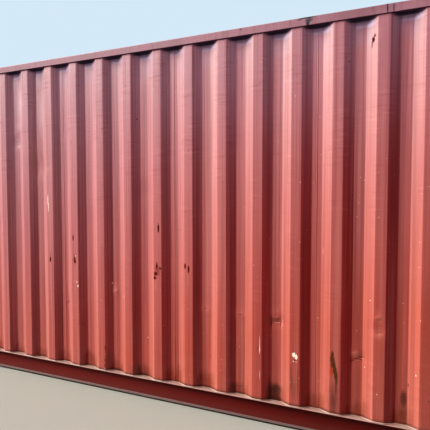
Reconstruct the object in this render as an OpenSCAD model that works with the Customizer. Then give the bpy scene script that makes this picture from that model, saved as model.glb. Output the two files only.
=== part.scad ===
// Dry freight container, forty feet long and high-cube, of welded corrugated steel.
// X runs along the length with the doors at +X, Y across and Z up.
// The origin is on the ground under the middle of the container.

/* [Overall] */
// Length over the corner castings
length = 12192; // [9000:1:13716]
// Width over the corner castings
width = 2438; // [2300:1:2600]
// Height over the corner castings
height = 2896; // [2438:1:2920]
// How far the rails and posts stay inside the overall size
envelope_gap = 3; // [2:0.5:5]

/* [Corner castings] */
// Length of a casting along the container
casting_l = 178; // [170:1:190]
// Width of a casting across the container
casting_w = 162; // [155:1:175]
// Height of a casting
casting_h = 118; // [110:1:125]
// Thickness of the plate with the twistlock hole
casting_plate = 28.5; // [24:0.5:32]
// Thickness of the wall in the end face
casting_end_wall = 20; // [14:0.5:26]
// Thickness of the wall in the side face
casting_side_wall = 16; // [12:0.5:22]
// Thickness of the three walls that face the frame
casting_back_wall = 12.5; // [9:0.5:12.5]
// Rounding of the casting's edges
casting_round = 6; // [3:0.5:9]
// Length of the twistlock hole
aperture_l = 124; // [110:0.5:124]
// Width of the twistlock hole
aperture_w = 63.5; // [58:0.5:68]
// Distance of the twistlock hole's centre from the end face
aperture_from_end = 103.5; // [98:0.5:103.5]
// Distance of the twistlock hole's centre from the side face
aperture_from_side = 89.5; // [84:0.5:95]
// Length of the lashing hole in the side face
side_slot_l = 79.5; // [70:0.5:86]
// Length of the lashing hole in the end face
end_slot_l = 74; // [66:0.5:80]
// Height of both lashing holes
slot_h = 51; // [44:0.5:54]
// Height of the lashing holes' centre over the twistlock face
slot_rise = 62; // [58:0.5:64]

/* [Base frame] */
// Height of the side rails over the ground
rail_lift = 11; // [6:0.5:16]
// Height of a bottom side rail
rail_h = 158; // [152:0.5:166]
// Width of the bottom side rail's upper flange
rail_top_flange = 48; // [46:0.5:60]
// Width of the bottom side rail's lower flange
rail_bottom_flange = 30; // [20:0.5:40]
// Thickness of the bottom side rail
rail_t = 4.5; // [3:0.5:6]
// Height of the cross members
member_h = 122; // [110:0.5:126]
// Width of a cross member's flanges
member_flange = 45; // [35:0.5:60]
// Thickness of the cross members
member_t = 4; // [3:0.5:5]
// Largest distance between two cross members
member_pitch = 300; // [250:5:400]
// Thickness of the floor boards
floor_t = 28; // [24:1:30]
// Number of floor boards along the container
floor_boards = 5; // [3:1:7]
// Width of the steel strip along the middle of the floor
floor_strip_w = 50; // [40:1:70]
// Thickness of the floor strip
floor_strip_t = 4; // [3:0.5:5]
// Gap between floor boards
floor_gap = 0.8; // [0.4:0.1:0.9]
// Depth of the front sill along the container
front_sill_depth = 60; // [58:1:80]
// Thickness of the sills and headers
sill_t = 4.5; // [3:0.5:6]

/* [Gooseneck tunnel] */
// Length of the tunnel from the front end
tunnel_l = 3315; // [3000:5:3500]
// Clear width of the tunnel
tunnel_w = 1029; // [1000:1:1040]
// Clear height of the tunnel over the ground
tunnel_h = 120; // [112:0.5:122]
// Thickness of the tunnel's plates
tunnel_t = 4; // [3:0.5:5]

/* [Side walls] */
// Distance from one corrugation to the next
corrugation_pitch = 278; // [260:1:300]
// Width of the outer flat of a corrugation
corrugation_face = 72; // [60:1:84]
// Run of the slope between the outer and the inner flat
corrugation_slope = 68; // [55:1:72]
// Depth of the corrugation over both surfaces
corrugation_depth = 36; // [28:0.5:36]
// Thickness of the wall sheets
wall_t = 2; // [1.6:0.2:2.4]
// Bend radius at the middle of the sheet
bend_r = 9; // [5:0.5:12]
// Corrugations in one sheet
sheet_corrugations = 4; // [2:1:6]
// Gap at the butt weld between two sheets
weld_gap = 0.5; // [0.2:0.1:0.8]
// How far the wall's outer face lies inside the overall width
wall_inset = 10; // [6:0.5:10]

/* [Front wall] */
// Distance from one corrugation of the front wall to the next
front_pitch = 250; // [230:1:270]
// Width of the outer flat of a front corrugation
front_face = 110; // [90:1:120]
// Run of the slope of a front corrugation
front_slope = 18; // [14:0.5:24]
// Depth of the front corrugation over both surfaces
front_corrugation_depth = 46; // [38:0.5:46]

/* [Posts and top rails] */
// Thickness of the pressed corner posts
post_t = 6; // [5:0.5:7]
// Depth of the rear posts' inner channel along the container
channel_l = 113; // [100:1:114]
// Width of the rear posts' inner channel
channel_w = 40; // [34:0.5:50]
// Thickness of the rear posts' inner channel
channel_t = 12; // [9:0.5:14]
// How far the door face lies inside the overall length
door_recess = 50; // [48:0.5:56]
// Outside size of the square top side rails
top_rail = 60; // [56:1:70]
// Thickness of the top side rails
top_rail_t = 3; // [2.5:0.5:5]
// How far the top rails lie under the castings' top
top_rail_drop = 10; // [8:0.5:14]
// Height of the door header under the top rails' upper face
header_h = 134; // [124:1:160]

/* [Roof] */
// Distance from one roof trough to the next
roof_pitch = 209; // [200:1:220]
// Width of a roof trough at its bottom
roof_trough = 91; // [80:1:100]
// Run of a roof trough's long sides
roof_slope = 13.5; // [10:0.5:18]
// Run of the closed ends of a roof trough
roof_end_slope = 40; // [20:1:60]
// Depth of the roof troughs
roof_depth = 20; // [14:0.5:24]
// Thickness of the roof sheets
roof_t = 2; // [1.6:0.2:2.4]
// Troughs in one roof sheet
sheet_troughs = 5; // [4:1:6]
// Thickness of the roof's end plates
end_plate_t = 3; // [2:0.5:4]
// Distance of the roof's edge from the top rails' outer face
roof_edge = 10; // [6:1:16]
// Clearance between the troughs and the top rails
trough_clear = 6; // [3:1:15]

/* [Doors] */
// Gap round the door leaves that the seal fills
door_gap = 12; // [8:0.5:16]
// Thickness of a door leaf's frame
leaf_t = 50; // [44:1:60]
// Width of a door leaf's upright stiles
stile_w = 100; // [80:1:110]
// Height of a door leaf's top and bottom rails
leaf_rail_h = 150; // [120:1:180]
// Wall thickness of the door leaf's frame
leaf_wall_t = 3.2; // [2.5:0.1:5]
// Corrugations in one door sheet
door_corrugations = 3; // [3:2:3]
// How far the door sheet lies behind the frame's face
door_sheet_inset = 4; // [2:0.5:8]
// Depth of the seals along the container
seal_depth = 26; // [16:1:30]

/* [Door gear] */
// Diameter of the lock rods
rod_d = 34; // [28:0.5:36]
// Gap between a lock rod and the door face
rod_stand_off = 9; // [8:0.5:10]
// Length of a cam along its lock rod
cam_h = 44; // [36:1:56]
// How far a cam reaches over the sill or header
cam_overlap = 66; // [60:1:80]
// Running clearance of rods, pins and cams
running_gap = 0.3; // [0.1:0.1:0.5]
// Height of a rod bracket
bracket_h = 46; // [30:1:60]
// Height of the lower door handles
handle_z = 1180; // [1000:5:1400]
// How much higher the outer rods' handles sit
handle_step = 130; // [90:5:200]
// Length of a door handle from its lock rod
handle_l = 400; // [340:5:440]
// Height of the flat bar of a handle
handle_bar = 30; // [22:1:36]
// Thickness of the flat bar of a handle
handle_t = 10; // [8:0.5:12]
// Distance of the first and last hinge from a leaf's ends
hinge_margin = 220; // [140:5:320]
// Number of hinges on a leaf
hinges = 4; // [3:1:5]
// Diameter of the hinge pins
pin_d = 18; // [14:0.5:20]
// Thickness of a hinge lug
lug_t = 16; // [12:1:20]
// Height of a hinge blade
blade_h = 70; // [50:1:90]
// Thickness of a hinge blade
blade_t = 10; // [8:0.5:10]

/* [Ventilators] */
// Height of a ventilator
vent_h = 100; // [80:1:140]
// Depth of the ventilators' bottom slots
vent_slot = 8; // [5:0.5:10]
// Width of a ventilator's bottom slot
vent_slot_w = 14; // [10:0.5:16]
// Distance from one ventilator slot to the next
vent_slot_pitch = 22; // [18:0.5:24]
// Height over which a ventilator's top and bottom slope
vent_slope = 16; // [8:1:24]
// Distance of a ventilator under the top rail
vent_drop = 130; // [80:5:300]

/* [Hidden] */
$fn = 48;

paint_red = "#b4483f";
dark_red = "#6d2b2a";
steel_grey = "#8f9092";
seal_black = "#26272a";
wood_brown = "#a9764a";

end_x = length / 2;
side_y = width / 2;
inner_x = end_x - casting_l;
inner_y = side_y - casting_w;
rail_y = side_y - envelope_gap + 1;
web_y = rail_y - rail_top_flange;
rail_top_z = rail_lift + rail_h;
member_z = rail_top_z - 2 - floor_t - member_h;
floor_z = member_z + member_h;
floor_top_z = floor_z + floor_t;
top_rail_z = height - top_rail_drop - top_rail;
roof_z = height - top_rail_drop;
header_z = roof_z - header_h;
post_top_z = height - casting_h;
wall_h = top_rail_z - rail_top_z;
wall_depth = wall_inset + corrugation_depth;
front_depth = wall_inset + front_corrugation_depth;
tunnel_end_x = -end_x + tunnel_l;
tunnel_side_y = tunnel_w / 2 + tunnel_t;
tunnel_top_z = tunnel_h + tunnel_t;
front_x = -end_x + envelope_gap;
floor_front_x = front_x + front_sill_depth;
sill_x = end_x - door_recess;
opening_y = side_y - envelope_gap - post_t - channel_w;
leaf_y = opening_y - door_gap;
centre_gap = door_gap / 2;
leaf_mid_y = (centre_gap + leaf_y) / 2;
leaf_z = floor_top_z + door_gap;
leaf_top_z = header_z - door_gap;
rod_x = sill_x + rod_stand_off + rod_d / 2;
rod_y = [leaf_mid_y - corrugation_pitch, leaf_mid_y + corrugation_pitch];
rod_ends = [floor_top_z - cam_overlap, header_z + cam_overlap];
bracket_z = [leaf_z + leaf_rail_h / 2, leaf_z + (leaf_top_z - leaf_z) * 0.31,
  leaf_z + (leaf_top_z - leaf_z) * 0.69, leaf_top_z - leaf_rail_h / 2];
pin_x = sill_x + blade_t / 2 + pin_d * 0.75;
pin_y = opening_y + 26;
hinge_z = [for (i = [0:hinges - 1])
  leaf_z + hinge_margin + (leaf_top_z - leaf_z - 2 * hinge_margin) * i / (hinges - 1)];

// Unit vector from one point to another.
function heading(a, b) = (b - a) / norm(b - a);
function left_of(v) = [-v[1], v[0]];

// Offset direction at a point of a path, long enough to keep the sheet's thickness.
function mitre(path, i) =
  let (last = len(path) - 1,
    before = left_of(heading(path[max(i - 1, 0)], path[max(i, 1)])),
    after = left_of(heading(path[min(i, last - 1)], path[min(i + 1, last)])))
  (before + after) / (1 + before * after);

// Closed outline of a sheet of thickness t along a path.
function sheet_outline(path, t) = concat(
  [for (i = [0:len(path) - 1]) path[i] + mitre(path, i) * t / 2],
  [for (i = [len(path) - 1:-1:0]) path[i] - mitre(path, i) * t / 2]);

// Points of a bend of radius r in the corner at b, in steps straight pieces.
function bend(a, b, c, r, steps) =
  let (u = heading(b, a), v = heading(b, c), half = acos(u * v) / 2,
    middle = b + heading([0, 0], u + v) * r / sin(half),
    start = b + u * r / tan(half) - middle, end = b + v * r / tan(half) - middle,
    from = atan2(start[1], start[0]), turn = atan2(end[1], end[0]) - from,
    sweep = turn > 180 ? turn - 360 : turn < -180 ? turn + 360 : turn)
  [for (i = [0:steps]) middle + r * [cos(from + sweep * i / steps), sin(from + sweep * i / steps)]];

function bent(path, r, steps) = concat([path[0]],
  [for (i = [1:len(path) - 2]) each bend(path[i - 1], path[i], path[i + 1], r, steps)],
  [path[len(path) - 1]]);

// Path of a corrugated sheet from x0 to x1, with count corrugations from first on.
// Flats at level 0 are inner ones, and those at rise are outer ones.
function corrugated(x0, x1, first, count, pitch, face, slope, rise) =
  let (inner = pitch - face - 2 * slope)
  concat([[x0, 0]],
    [for (i = [0:count - 1], p = [[inner / 2, 0], [inner / 2 + slope, rise],
      [inner / 2 + slope + face, rise], [pitch - inner / 2, 0]]) [first + i * pitch + p[0], p[1]]],
    [[x1, 0]]);

module both_sides() {
  children();
  mirror([0, 1, 0]) children();
}

module both_ends() {
  children();
  mirror([1, 0, 0]) children();
}

// A profile in Y and Z drawn out along X.
module along_x(from, to) {
  translate([from, 0, 0]) rotate([90, 0, 90]) linear_extrude(to - from) children();
}

// A profile in X and Z drawn out along Y.
module along_y(from, to) {
  translate([0, to, 0]) rotate([90, 0, 0]) linear_extrude(to - from) children();
}

module block(from, to) {
  translate(from) cube(to - from);
}

module pressed(path, t, r) {
  polygon(sheet_outline(bent(path, r, 4), t));
}

module rounded_rect(w, h, r) {
  translate([r, 0]) square([w - 2 * r, h]);
  translate([0, r]) square([w, h - 2 * r]);
  for (x = [r, w - r], y = [r, h - r]) translate([x, y]) circle(r);
}

// A hole with round ends, long in its first direction.
module slot(l, w) {
  square([l - w, w], center = true);
  for (s = [-1, 1]) translate([s * (l - w) / 2, 0]) circle(w / 2);
}

// One casting with its outer corner at the origin and the twistlock hole in the face at z = 0.
module casting() {
  difference() {
    intersection() {
      linear_extrude(casting_h) rounded_rect(casting_l, casting_w, casting_round);
      along_x(0, casting_l) rounded_rect(casting_w, casting_h, casting_round);
      along_y(0, casting_w) rounded_rect(casting_l, casting_h, casting_round);
    }
    block([casting_end_wall, casting_side_wall, casting_plate],
      [casting_l - casting_back_wall, casting_w - casting_back_wall, casting_h - casting_back_wall]);
    translate([aperture_from_end, aperture_from_side, -1])
      linear_extrude(casting_plate + 2) slot(aperture_l, aperture_w);
    along_y(-1, casting_side_wall + 1)
      translate([aperture_from_end - 12, slot_rise]) slot(side_slot_l, slot_h);
    along_x(-1, casting_end_wall + 1)
      translate([aperture_from_side - 6, slot_rise]) slot(end_slot_l, slot_h);
  }
}

module bottom_castings() {
  color(paint_red) both_ends() both_sides() translate([-end_x, -side_y, 0]) casting();
}

module top_castings() {
  color(paint_red) both_ends() both_sides()
    translate([-end_x, -side_y, height]) mirror([0, 0, 1]) casting();
}

// Channel that opens outwards, with the wall on its wide upper flange.
module bottom_side_rails() {
  half = rail_t / 2;
  color(dark_red) both_sides() along_x(-inner_x, inner_x)
    pressed([[rail_y, rail_top_z - half], [web_y + half, rail_top_z - half],
      [web_y + half, rail_lift + half], [web_y + rail_bottom_flange, rail_lift + half]],
      rail_t, 7);
}

module member_profile(h) {
  half = member_t / 2;
  pressed([[member_flange, h - half], [half, h - half], [half, half], [member_flange, half]],
    member_t, 6);
}

// Even spacing of the members over a stretch of the floor.
function member_places(from, to) =
  let (count = ceil((to - from) / member_pitch))
  [for (i = [1:count - 1]) from + (to - from) * i / count - member_flange / 2];

module cross_members() {
  color(dark_red) for (x = concat([tunnel_end_x], member_places(tunnel_end_x, inner_x)))
    translate([x, 0, member_z]) along_y(-web_y, web_y) member_profile(member_h);
}

module tunnel_outriggers() {
  color(dark_red) both_sides() for (x = member_places(floor_front_x, tunnel_end_x))
    translate([x, 0, member_z]) along_y(tunnel_side_y, web_y) member_profile(member_h);
}

// Low angles that carry the floor over the tunnel.
module tunnel_bows() {
  half = member_t / 2;
  color(dark_red) for (x = member_places(floor_front_x, tunnel_end_x))
    translate([x, 0, 0]) along_y(-tunnel_side_y, tunnel_side_y)
      pressed([[member_flange, floor_z - half], [half, floor_z - half], [half, tunnel_top_z]],
        member_t, 4);
}

module tunnel_top_plate() {
  color(dark_red) block([front_x, -tunnel_side_y, tunnel_h],
    [tunnel_end_x, tunnel_side_y, tunnel_top_z]);
}

module tunnel_side_plates() {
  color(dark_red) both_sides() block([front_x, tunnel_w / 2, member_z],
    [tunnel_end_x, tunnel_side_y, tunnel_h]);
}

// Channel of the front sill that opens into the container.
module front_sill_profile(from_z) {
  half = sill_t / 2;
  pressed([[floor_front_x, from_z + half], [front_x + half, from_z + half],
    [front_x + half, floor_top_z - half], [floor_front_x, floor_top_z - half]], sill_t, 7);
}

module front_sill() {
  color(dark_red) both_sides() along_y(tunnel_side_y, inner_y) front_sill_profile(member_z);
}

module tunnel_bridge() {
  color(dark_red) along_y(-tunnel_side_y, tunnel_side_y) front_sill_profile(tunnel_top_z);
}

// Boards of one side of the floor, from the middle strip to the side rail.
module floor_boards() {
  run = (inner_x - floor_front_x) / floor_boards;
  color(wood_brown) for (i = [0:floor_boards - 1])
    block([floor_front_x + i * run + floor_gap / 2, floor_strip_w / 2 + floor_gap, floor_z],
      [floor_front_x + (i + 1) * run - floor_gap / 2, web_y - floor_gap, floor_top_z]);
}

module floor_boards_left() {
  mirror([0, 1, 0]) floor_boards();
}

module floor_boards_right() {
  floor_boards();
}

module floor_strip() {
  half = floor_strip_t / 2;
  reach = floor_strip_w / 2 - half;
  color(steel_grey) along_x(floor_front_x, inner_x)
    pressed([[-reach, floor_z], [-reach, floor_top_z - half],
      [reach, floor_top_z - half], [reach, floor_z]], floor_strip_t, 5);
}

// Pressed post round the outer corner; its flanges end at the side and the front wall.
module front_posts() {
  half = post_t / 2;
  outer = envelope_gap + half;
  color(paint_red) both_sides() translate([-end_x, -side_y, casting_h])
    linear_extrude(post_top_z - casting_h)
      pressed([[casting_l - half, wall_depth], [casting_l - half, outer], [outer, outer],
        [outer, casting_w - half], [front_depth, casting_w - half]], post_t, 12);
}

module rear_posts() {
  half = post_t / 2;
  outer = envelope_gap + half;
  color(paint_red) both_sides() mirror([1, 0, 0]) translate([-end_x, -side_y, casting_h])
    linear_extrude(post_top_z - casting_h)
      pressed([[casting_l - half, wall_depth], [casting_l - half, outer],
        [door_recess + half, outer], [door_recess + half, envelope_gap + post_t + channel_w]],
        post_t, 9);
}

// Heavy channel inside each rear post, which carries the stacking load.
module rear_post_channels() {
  half = channel_t / 2;
  from = door_recess + post_t;
  base = envelope_gap + post_t;
  color(paint_red) both_sides() mirror([1, 0, 0]) translate([-end_x, -side_y, casting_h])
    linear_extrude(post_top_z - casting_h)
      polygon(sheet_outline([[from + half, base], [from + half, base + channel_w - half],
        [from + channel_l - half, base + channel_w - half], [from + channel_l - half, base]],
        channel_t));
}

module square_tube(size, t) {
  difference() {
    rounded_rect(size, size, t * 2);
    translate([t, t]) rounded_rect(size - 2 * t, size - 2 * t, t);
  }
}

module top_side_rails() {
  color(paint_red) both_sides() along_x(-inner_x, inner_x)
    translate([side_y - envelope_gap - top_rail, top_rail_z]) square_tube(top_rail, top_rail_t);
}

module front_header() {
  color(paint_red) along_y(-inner_y, inner_y)
    translate([front_x, top_rail_z]) square_tube(top_rail, top_rail_t);
}

// Corrugated wall in sheets, butt-welded at the middle of inner flats.
// The wall spans x within +-reach, and its outer surface is at y = 0.
module corrugated_wall(reach, h, pitch, face, slope, depth, per_sheet) {
  count = 2 * floor((reach - pitch / 8) / pitch);
  sheets = max(1, floor(count / per_sheet));
  spare = count - sheets * per_sheet;
  rise = depth - wall_t;
  for (k = [0:sheets - 1]) {
    before = k == 0 ? 0 : k * per_sheet + floor(spare / 4) * 2 + spare % 4 / 2;
    after = k == sheets - 1 ? count : (k + 1) * per_sheet + floor(spare / 4) * 2 + spare % 4 / 2;
    first = (before - count / 2) * pitch;
    x0 = k == 0 ? -reach : first + weld_gap / 2;
    x1 = k == sheets - 1 ? reach : (after - count / 2) * pitch - weld_gap / 2;
    translate([0, wall_t / 2 - depth, 0]) linear_extrude(h)
      polygon(sheet_outline(bent(corrugated(x0, x1, first, after - before,
        pitch, face, slope, rise), bend_r, 3), wall_t));
  }
}

module side_wall() {
  color(paint_red) translate([0, side_y - wall_inset, rail_top_z])
    corrugated_wall(inner_x, wall_h, corrugation_pitch, corrugation_face, corrugation_slope,
      corrugation_depth, sheet_corrugations);
}

module left_wall() {
  mirror([0, 1, 0]) side_wall();
}

module right_wall() {
  side_wall();
}

module front_wall() {
  color(paint_red) translate([-end_x + wall_inset, 0, floor_top_z]) rotate([0, 0, 90])
    corrugated_wall(inner_y, top_rail_z - floor_top_z, front_pitch, front_face, front_slope,
      front_corrugation_depth, sheet_corrugations);
}

// Troughs of one roof sheet, seen along the container; spread makes them wider and drop lower.
module trough_comb(spread, drop) {
  for (i = [0:sheet_troughs - 1]) translate([(i + 0.5) * roof_pitch, roof_z + roof_t - drop])
    polygon([[-roof_trough / 2 - roof_slope - spread, 0], [-roof_trough / 2 - spread, -roof_depth],
      [roof_trough / 2 + spread, -roof_depth], [roof_trough / 2 + roof_slope + spread, 0]]);
}

// The same troughs seen across the container, with sloping ends.
module trough_run(spread, drop) {
  end_y = side_y - envelope_gap - top_rail - trough_clear;
  translate([0, roof_z + roof_t - drop])
    polygon([[-end_y - spread, 0], [-end_y + roof_end_slope - spread, -roof_depth],
      [end_y - roof_end_slope + spread, -roof_depth], [end_y + spread, 0]]);
}

module trough_bodies(side_spread, end_spread, drop) {
  intersection() {
    along_y(-side_y, side_y) trough_comb(side_spread, drop);
    along_x(0, sheet_troughs * roof_pitch) trough_run(end_spread, drop);
  }
}

module roof_sheet() {
  edge_y = side_y - envelope_gap - roof_edge;
  side_spread = roof_t * (norm([roof_slope, roof_depth]) - roof_slope) / roof_depth;
  end_spread = roof_t * (norm([roof_end_slope, roof_depth]) - roof_end_slope) / roof_depth;
  difference() {
    union() {
      block([weld_gap / 2, -edge_y, roof_z],
        [sheet_troughs * roof_pitch - weld_gap / 2, edge_y, roof_z + roof_t]);
      trough_bodies(side_spread, end_spread, roof_t);
    }
    trough_bodies(0, 0, 0);
  }
}

roof_count = floor((2 * inner_x - 2 * top_rail) / (sheet_troughs * roof_pitch));
roof_end_x = roof_count * sheet_troughs * roof_pitch / 2;

module roof_sheets() {
  color(paint_red) for (i = [0:roof_count - 1])
    translate([-roof_end_x + i * sheet_troughs * roof_pitch, 0, 0]) roof_sheet();
}

// Flat plates between the last roof sheets and the ends, cut out round the castings.
module end_plate(end) {
  edge_y = side_y - envelope_gap - roof_edge;
  from = roof_end_x + weld_gap / 2;
  translate([0, 0, roof_z]) linear_extrude(end_plate_t)
    polygon([[from, -edge_y], [inner_x - weld_gap, -edge_y], [inner_x - weld_gap, -inner_y + weld_gap],
      [end, -inner_y + weld_gap], [end, inner_y - weld_gap], [inner_x - weld_gap, inner_y - weld_gap],
      [inner_x - weld_gap, edge_y], [from, edge_y]]);
}

module roof_end_plates() {
  color(paint_red) {
    end_plate(sill_x);
    mirror([1, 0, 0]) end_plate(-front_x);
  }
}

// Space that the castings take from the sills and headers.
module casting_space(from_z, to_z) {
  both_sides() block([inner_x, inner_y, from_z], [end_x, side_y, to_z]);
}

module door_sill() {
  half = sill_t / 2;
  color(dark_red) difference() {
    along_y(-opening_y, opening_y)
      pressed([[inner_x, member_z + half], [sill_x - half, member_z + half],
        [sill_x - half, floor_top_z - half], [inner_x, floor_top_z - half]], sill_t, 8);
    casting_space(0, casting_h);
  }
}

module door_header() {
  half = sill_t / 2;
  color(paint_red) difference() {
    along_y(-opening_y, opening_y)
      pressed([[inner_x, header_z + half], [sill_x - half, header_z + half],
        [sill_x - half, roof_z - half], [inner_x, roof_z - half]], sill_t, 8);
    casting_space(post_top_z, height);
  }
}

// Frame of the leaf on the +Y side: tubes for stiles, channels that open inwards for rails.
module door_frame() {
  back_x = sill_x - leaf_t;
  wall = leaf_wall_t;
  difference() {
    block([back_x, centre_gap, leaf_z], [sill_x, leaf_y, leaf_top_z]);
    block([back_x - 1, centre_gap + stile_w, leaf_z + leaf_rail_h],
      [sill_x + 1, leaf_y - stile_w, leaf_top_z - leaf_rail_h]);
    for (y = [centre_gap, leaf_y - stile_w])
      block([back_x + wall, y + wall, leaf_z - 1], [sill_x - wall, y + stile_w - wall, leaf_top_z + 1]);
    for (z = [leaf_z, leaf_top_z - leaf_rail_h])
      block([back_x - 1, centre_gap + stile_w, z + wall],
        [sill_x - wall, leaf_y - stile_w, z + leaf_rail_h - wall]);
  }
}

module door_sheet() {
  reach = (leaf_y - centre_gap) / 2 - stile_w;
  rise = corrugation_depth - wall_t;
  first = -door_corrugations * corrugation_pitch / 2;
  color(paint_red) translate([sill_x - door_sheet_inset, leaf_mid_y, leaf_z + leaf_rail_h])
    rotate([0, 0, -90]) translate([0, wall_t / 2 - corrugation_depth, 0])
      linear_extrude(leaf_top_z - leaf_z - 2 * leaf_rail_h)
        polygon(sheet_outline(bent(corrugated(-reach, reach, first, door_corrugations,
          corrugation_pitch, corrugation_face, corrugation_slope, rise), bend_r, 3), wall_t));
}

module left_door_frame() {
  color(paint_red) mirror([0, 1, 0]) door_frame();
}

module right_door_frame() {
  color(paint_red) door_frame();
}

module left_door_sheet() {
  mirror([0, 1, 0]) door_sheet();
}

module right_door_sheet() {
  door_sheet();
}

module door_seals() {
  front = sill_x - 4;
  color(seal_black) both_sides() difference() {
    block([front - seal_depth, weld_gap, floor_top_z], [front, opening_y, header_z]);
    block([front - seal_depth - 1, centre_gap, leaf_z], [front + 1, leaf_y, leaf_top_z]);
  }
}

// Lug of a hinge: a plate on the post with a round nose about the pin.
module hinge_lug() {
  nose = pin_d / 2 + 9;
  linear_extrude(lug_t) difference() {
    union() {
      translate([sill_x, pin_y - nose]) square([pin_x - sill_x, 2 * nose]);
      translate([pin_x, pin_y]) circle(nose);
    }
    translate([pin_x, pin_y]) circle(pin_d / 2 + running_gap);
  }
}

module hinge_lugs() {
  color(paint_red) both_sides() for (z = hinge_z, s = [-1, 1])
    translate([0, 0, z - lug_t / 2 + s * (blade_h / 2 + running_gap + lug_t / 2)]) hinge_lug();
}

module hinge_blades() {
  knuckle = pin_d / 2 + 8;
  color(paint_red) both_sides() for (z = hinge_z) translate([0, 0, z - blade_h / 2])
    linear_extrude(blade_h) difference() {
      union() {
        translate([sill_x, leaf_y - stile_w]) square([blade_t, stile_w]);
        translate([sill_x + running_gap, leaf_y - 1]) square([blade_t - running_gap, pin_y - leaf_y + 1]);
        intersection() {
          translate([pin_x, pin_y]) circle(knuckle);
          translate([sill_x + running_gap, pin_y - knuckle]) square([4 * knuckle, 2 * knuckle]);
        }
      }
      translate([pin_x, pin_y]) circle(pin_d / 2 + running_gap);
    }
}

module hinge_pins() {
  color(steel_grey) both_sides() for (z = hinge_z)
    translate([pin_x, pin_y, z - blade_h / 2 - running_gap - lug_t]) {
      cylinder(d = pin_d, h = blade_h + 2 * (running_gap + lug_t));
      translate([0, 0, -5]) cylinder(d = pin_d + 8, h = 5);
    }
}

module lock_rods() {
  color(steel_grey) both_sides() for (y = rod_y) translate([rod_x, y, rod_ends[0] + cam_h])
    difference() {
      cylinder(d = rod_d, h = rod_ends[1] - rod_ends[0] - 2 * cam_h);
      translate([0, 0, -1]) cylinder(d = rod_d - 7, h = height);
    }
}

// Guides round the rods, on plates that lie on the door leaf.
module rod_bracket(seat_x) {
  ring = rod_d / 2 + 6;
  difference() {
    union() {
      block([seat_x, -ring - 16, -bracket_h / 2], [seat_x + 5, ring + 16, bracket_h / 2]);
      translate([0, 0, -bracket_h / 2]) linear_extrude(bracket_h) {
        translate([seat_x, -ring]) square([rod_x - seat_x, 2 * ring]);
        translate([rod_x, 0]) circle(ring);
      }
    }
    translate([rod_x, 0, -bracket_h]) cylinder(d = rod_d + 2 * running_gap, h = 2 * bracket_h);
  }
}

module rod_brackets() {
  color(steel_grey) both_sides() for (y = rod_y, i = [0:3])
    translate([0, y, bracket_z[i]])
      rod_bracket(i == 0 || i == 3 ? sill_x : sill_x - door_sheet_inset);
}

// Forged end of a rod, with two horns that hook behind the keeper.
module rod_cam() {
  hub = rod_d / 2 + 3;
  difference() {
    union() {
      cylinder(r = hub, h = cam_h);
      for (s = [-1, 1]) translate([0, s * 9, 0])
        block([-hub + 6, s > 0 ? 0 : -8, 8], [hub, s > 0 ? 8 : 0, cam_h - 8]);
    }
    translate([-hub - 1, -4, 12]) cube([hub - 4, 8, cam_h - 24]);
  }
}

module rod_cams() {
  color(steel_grey) both_sides() for (y = rod_y, z = rod_ends)
    translate([rod_x, y, z == rod_ends[0] ? z : z - cam_h]) rod_cam();
}

// Keeper on the sill or header: a plate with two lips that hold the cam.
module cam_keepers() {
  grip = rod_d / 2 + 3 + running_gap;
  color(steel_grey) both_sides() for (y = rod_y, z = rod_ends)
    translate([sill_x, y, z == rod_ends[0] ? z - 8 : z - cam_h - 8]) {
      block([0, -grip - 14, 0], [5, grip + 14, cam_h + 16]);
      for (s = [-1, 1]) block([5, s > 0 ? grip : -grip - 10, 0],
        [rod_x - sill_x + 8, s > 0 ? grip + 10 : -grip, cam_h + 16]);
    }
}

// Handle of a rod: a split hub with a flat bar towards the middle of the leaf.
module door_handle(way) {
  hub = rod_d / 2 + 6;
  bar_x = rod_d / 2 + 1;
  difference() {
    union() {
      translate([0, 0, -handle_bar]) cylinder(r = hub, h = 2 * handle_bar);
      along_x(bar_x - handle_t, bar_x) {
        translate([way > 0 ? 0 : handle_bar / 2 - handle_l, -handle_bar / 2])
          square([handle_l - handle_bar / 2, handle_bar]);
        translate([way * (handle_l - handle_bar / 2), 0]) circle(handle_bar / 2);
      }
    }
    translate([0, 0, -handle_bar - 1]) cylinder(d = rod_d, h = 2 * handle_bar + 2);
  }
}

function handle_at(i) = handle_z + (i == 0 ? 0 : handle_step);

module door_handles() {
  color(steel_grey) both_sides() for (i = [0, 1])
    translate([rod_x, rod_y[i], handle_at(i)]) door_handle(i == 0 ? 1 : -1);
}

// Catches on the leaf's middle corrugation that hold the handles' ends.
module handle_catches() {
  seat_x = sill_x - door_sheet_inset;
  bar_x = rod_x + rod_d / 2 + 1;
  color(steel_grey) both_sides() for (i = [0, 1])
    translate([0, leaf_mid_y, handle_at(i)]) {
      block([seat_x, -24, -handle_bar / 2 - 20], [seat_x + 5, 24, handle_bar / 2 + 30]);
      block([seat_x + 5, -18, -handle_bar / 2 - 8], [bar_x - handle_t - running_gap, 18, handle_bar / 2 + 8]);
      block([bar_x - handle_t - running_gap, -18, -handle_bar / 2 - 8],
        [bar_x + 4, 18, -handle_bar / 2 - running_gap]);
    }
}

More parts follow.
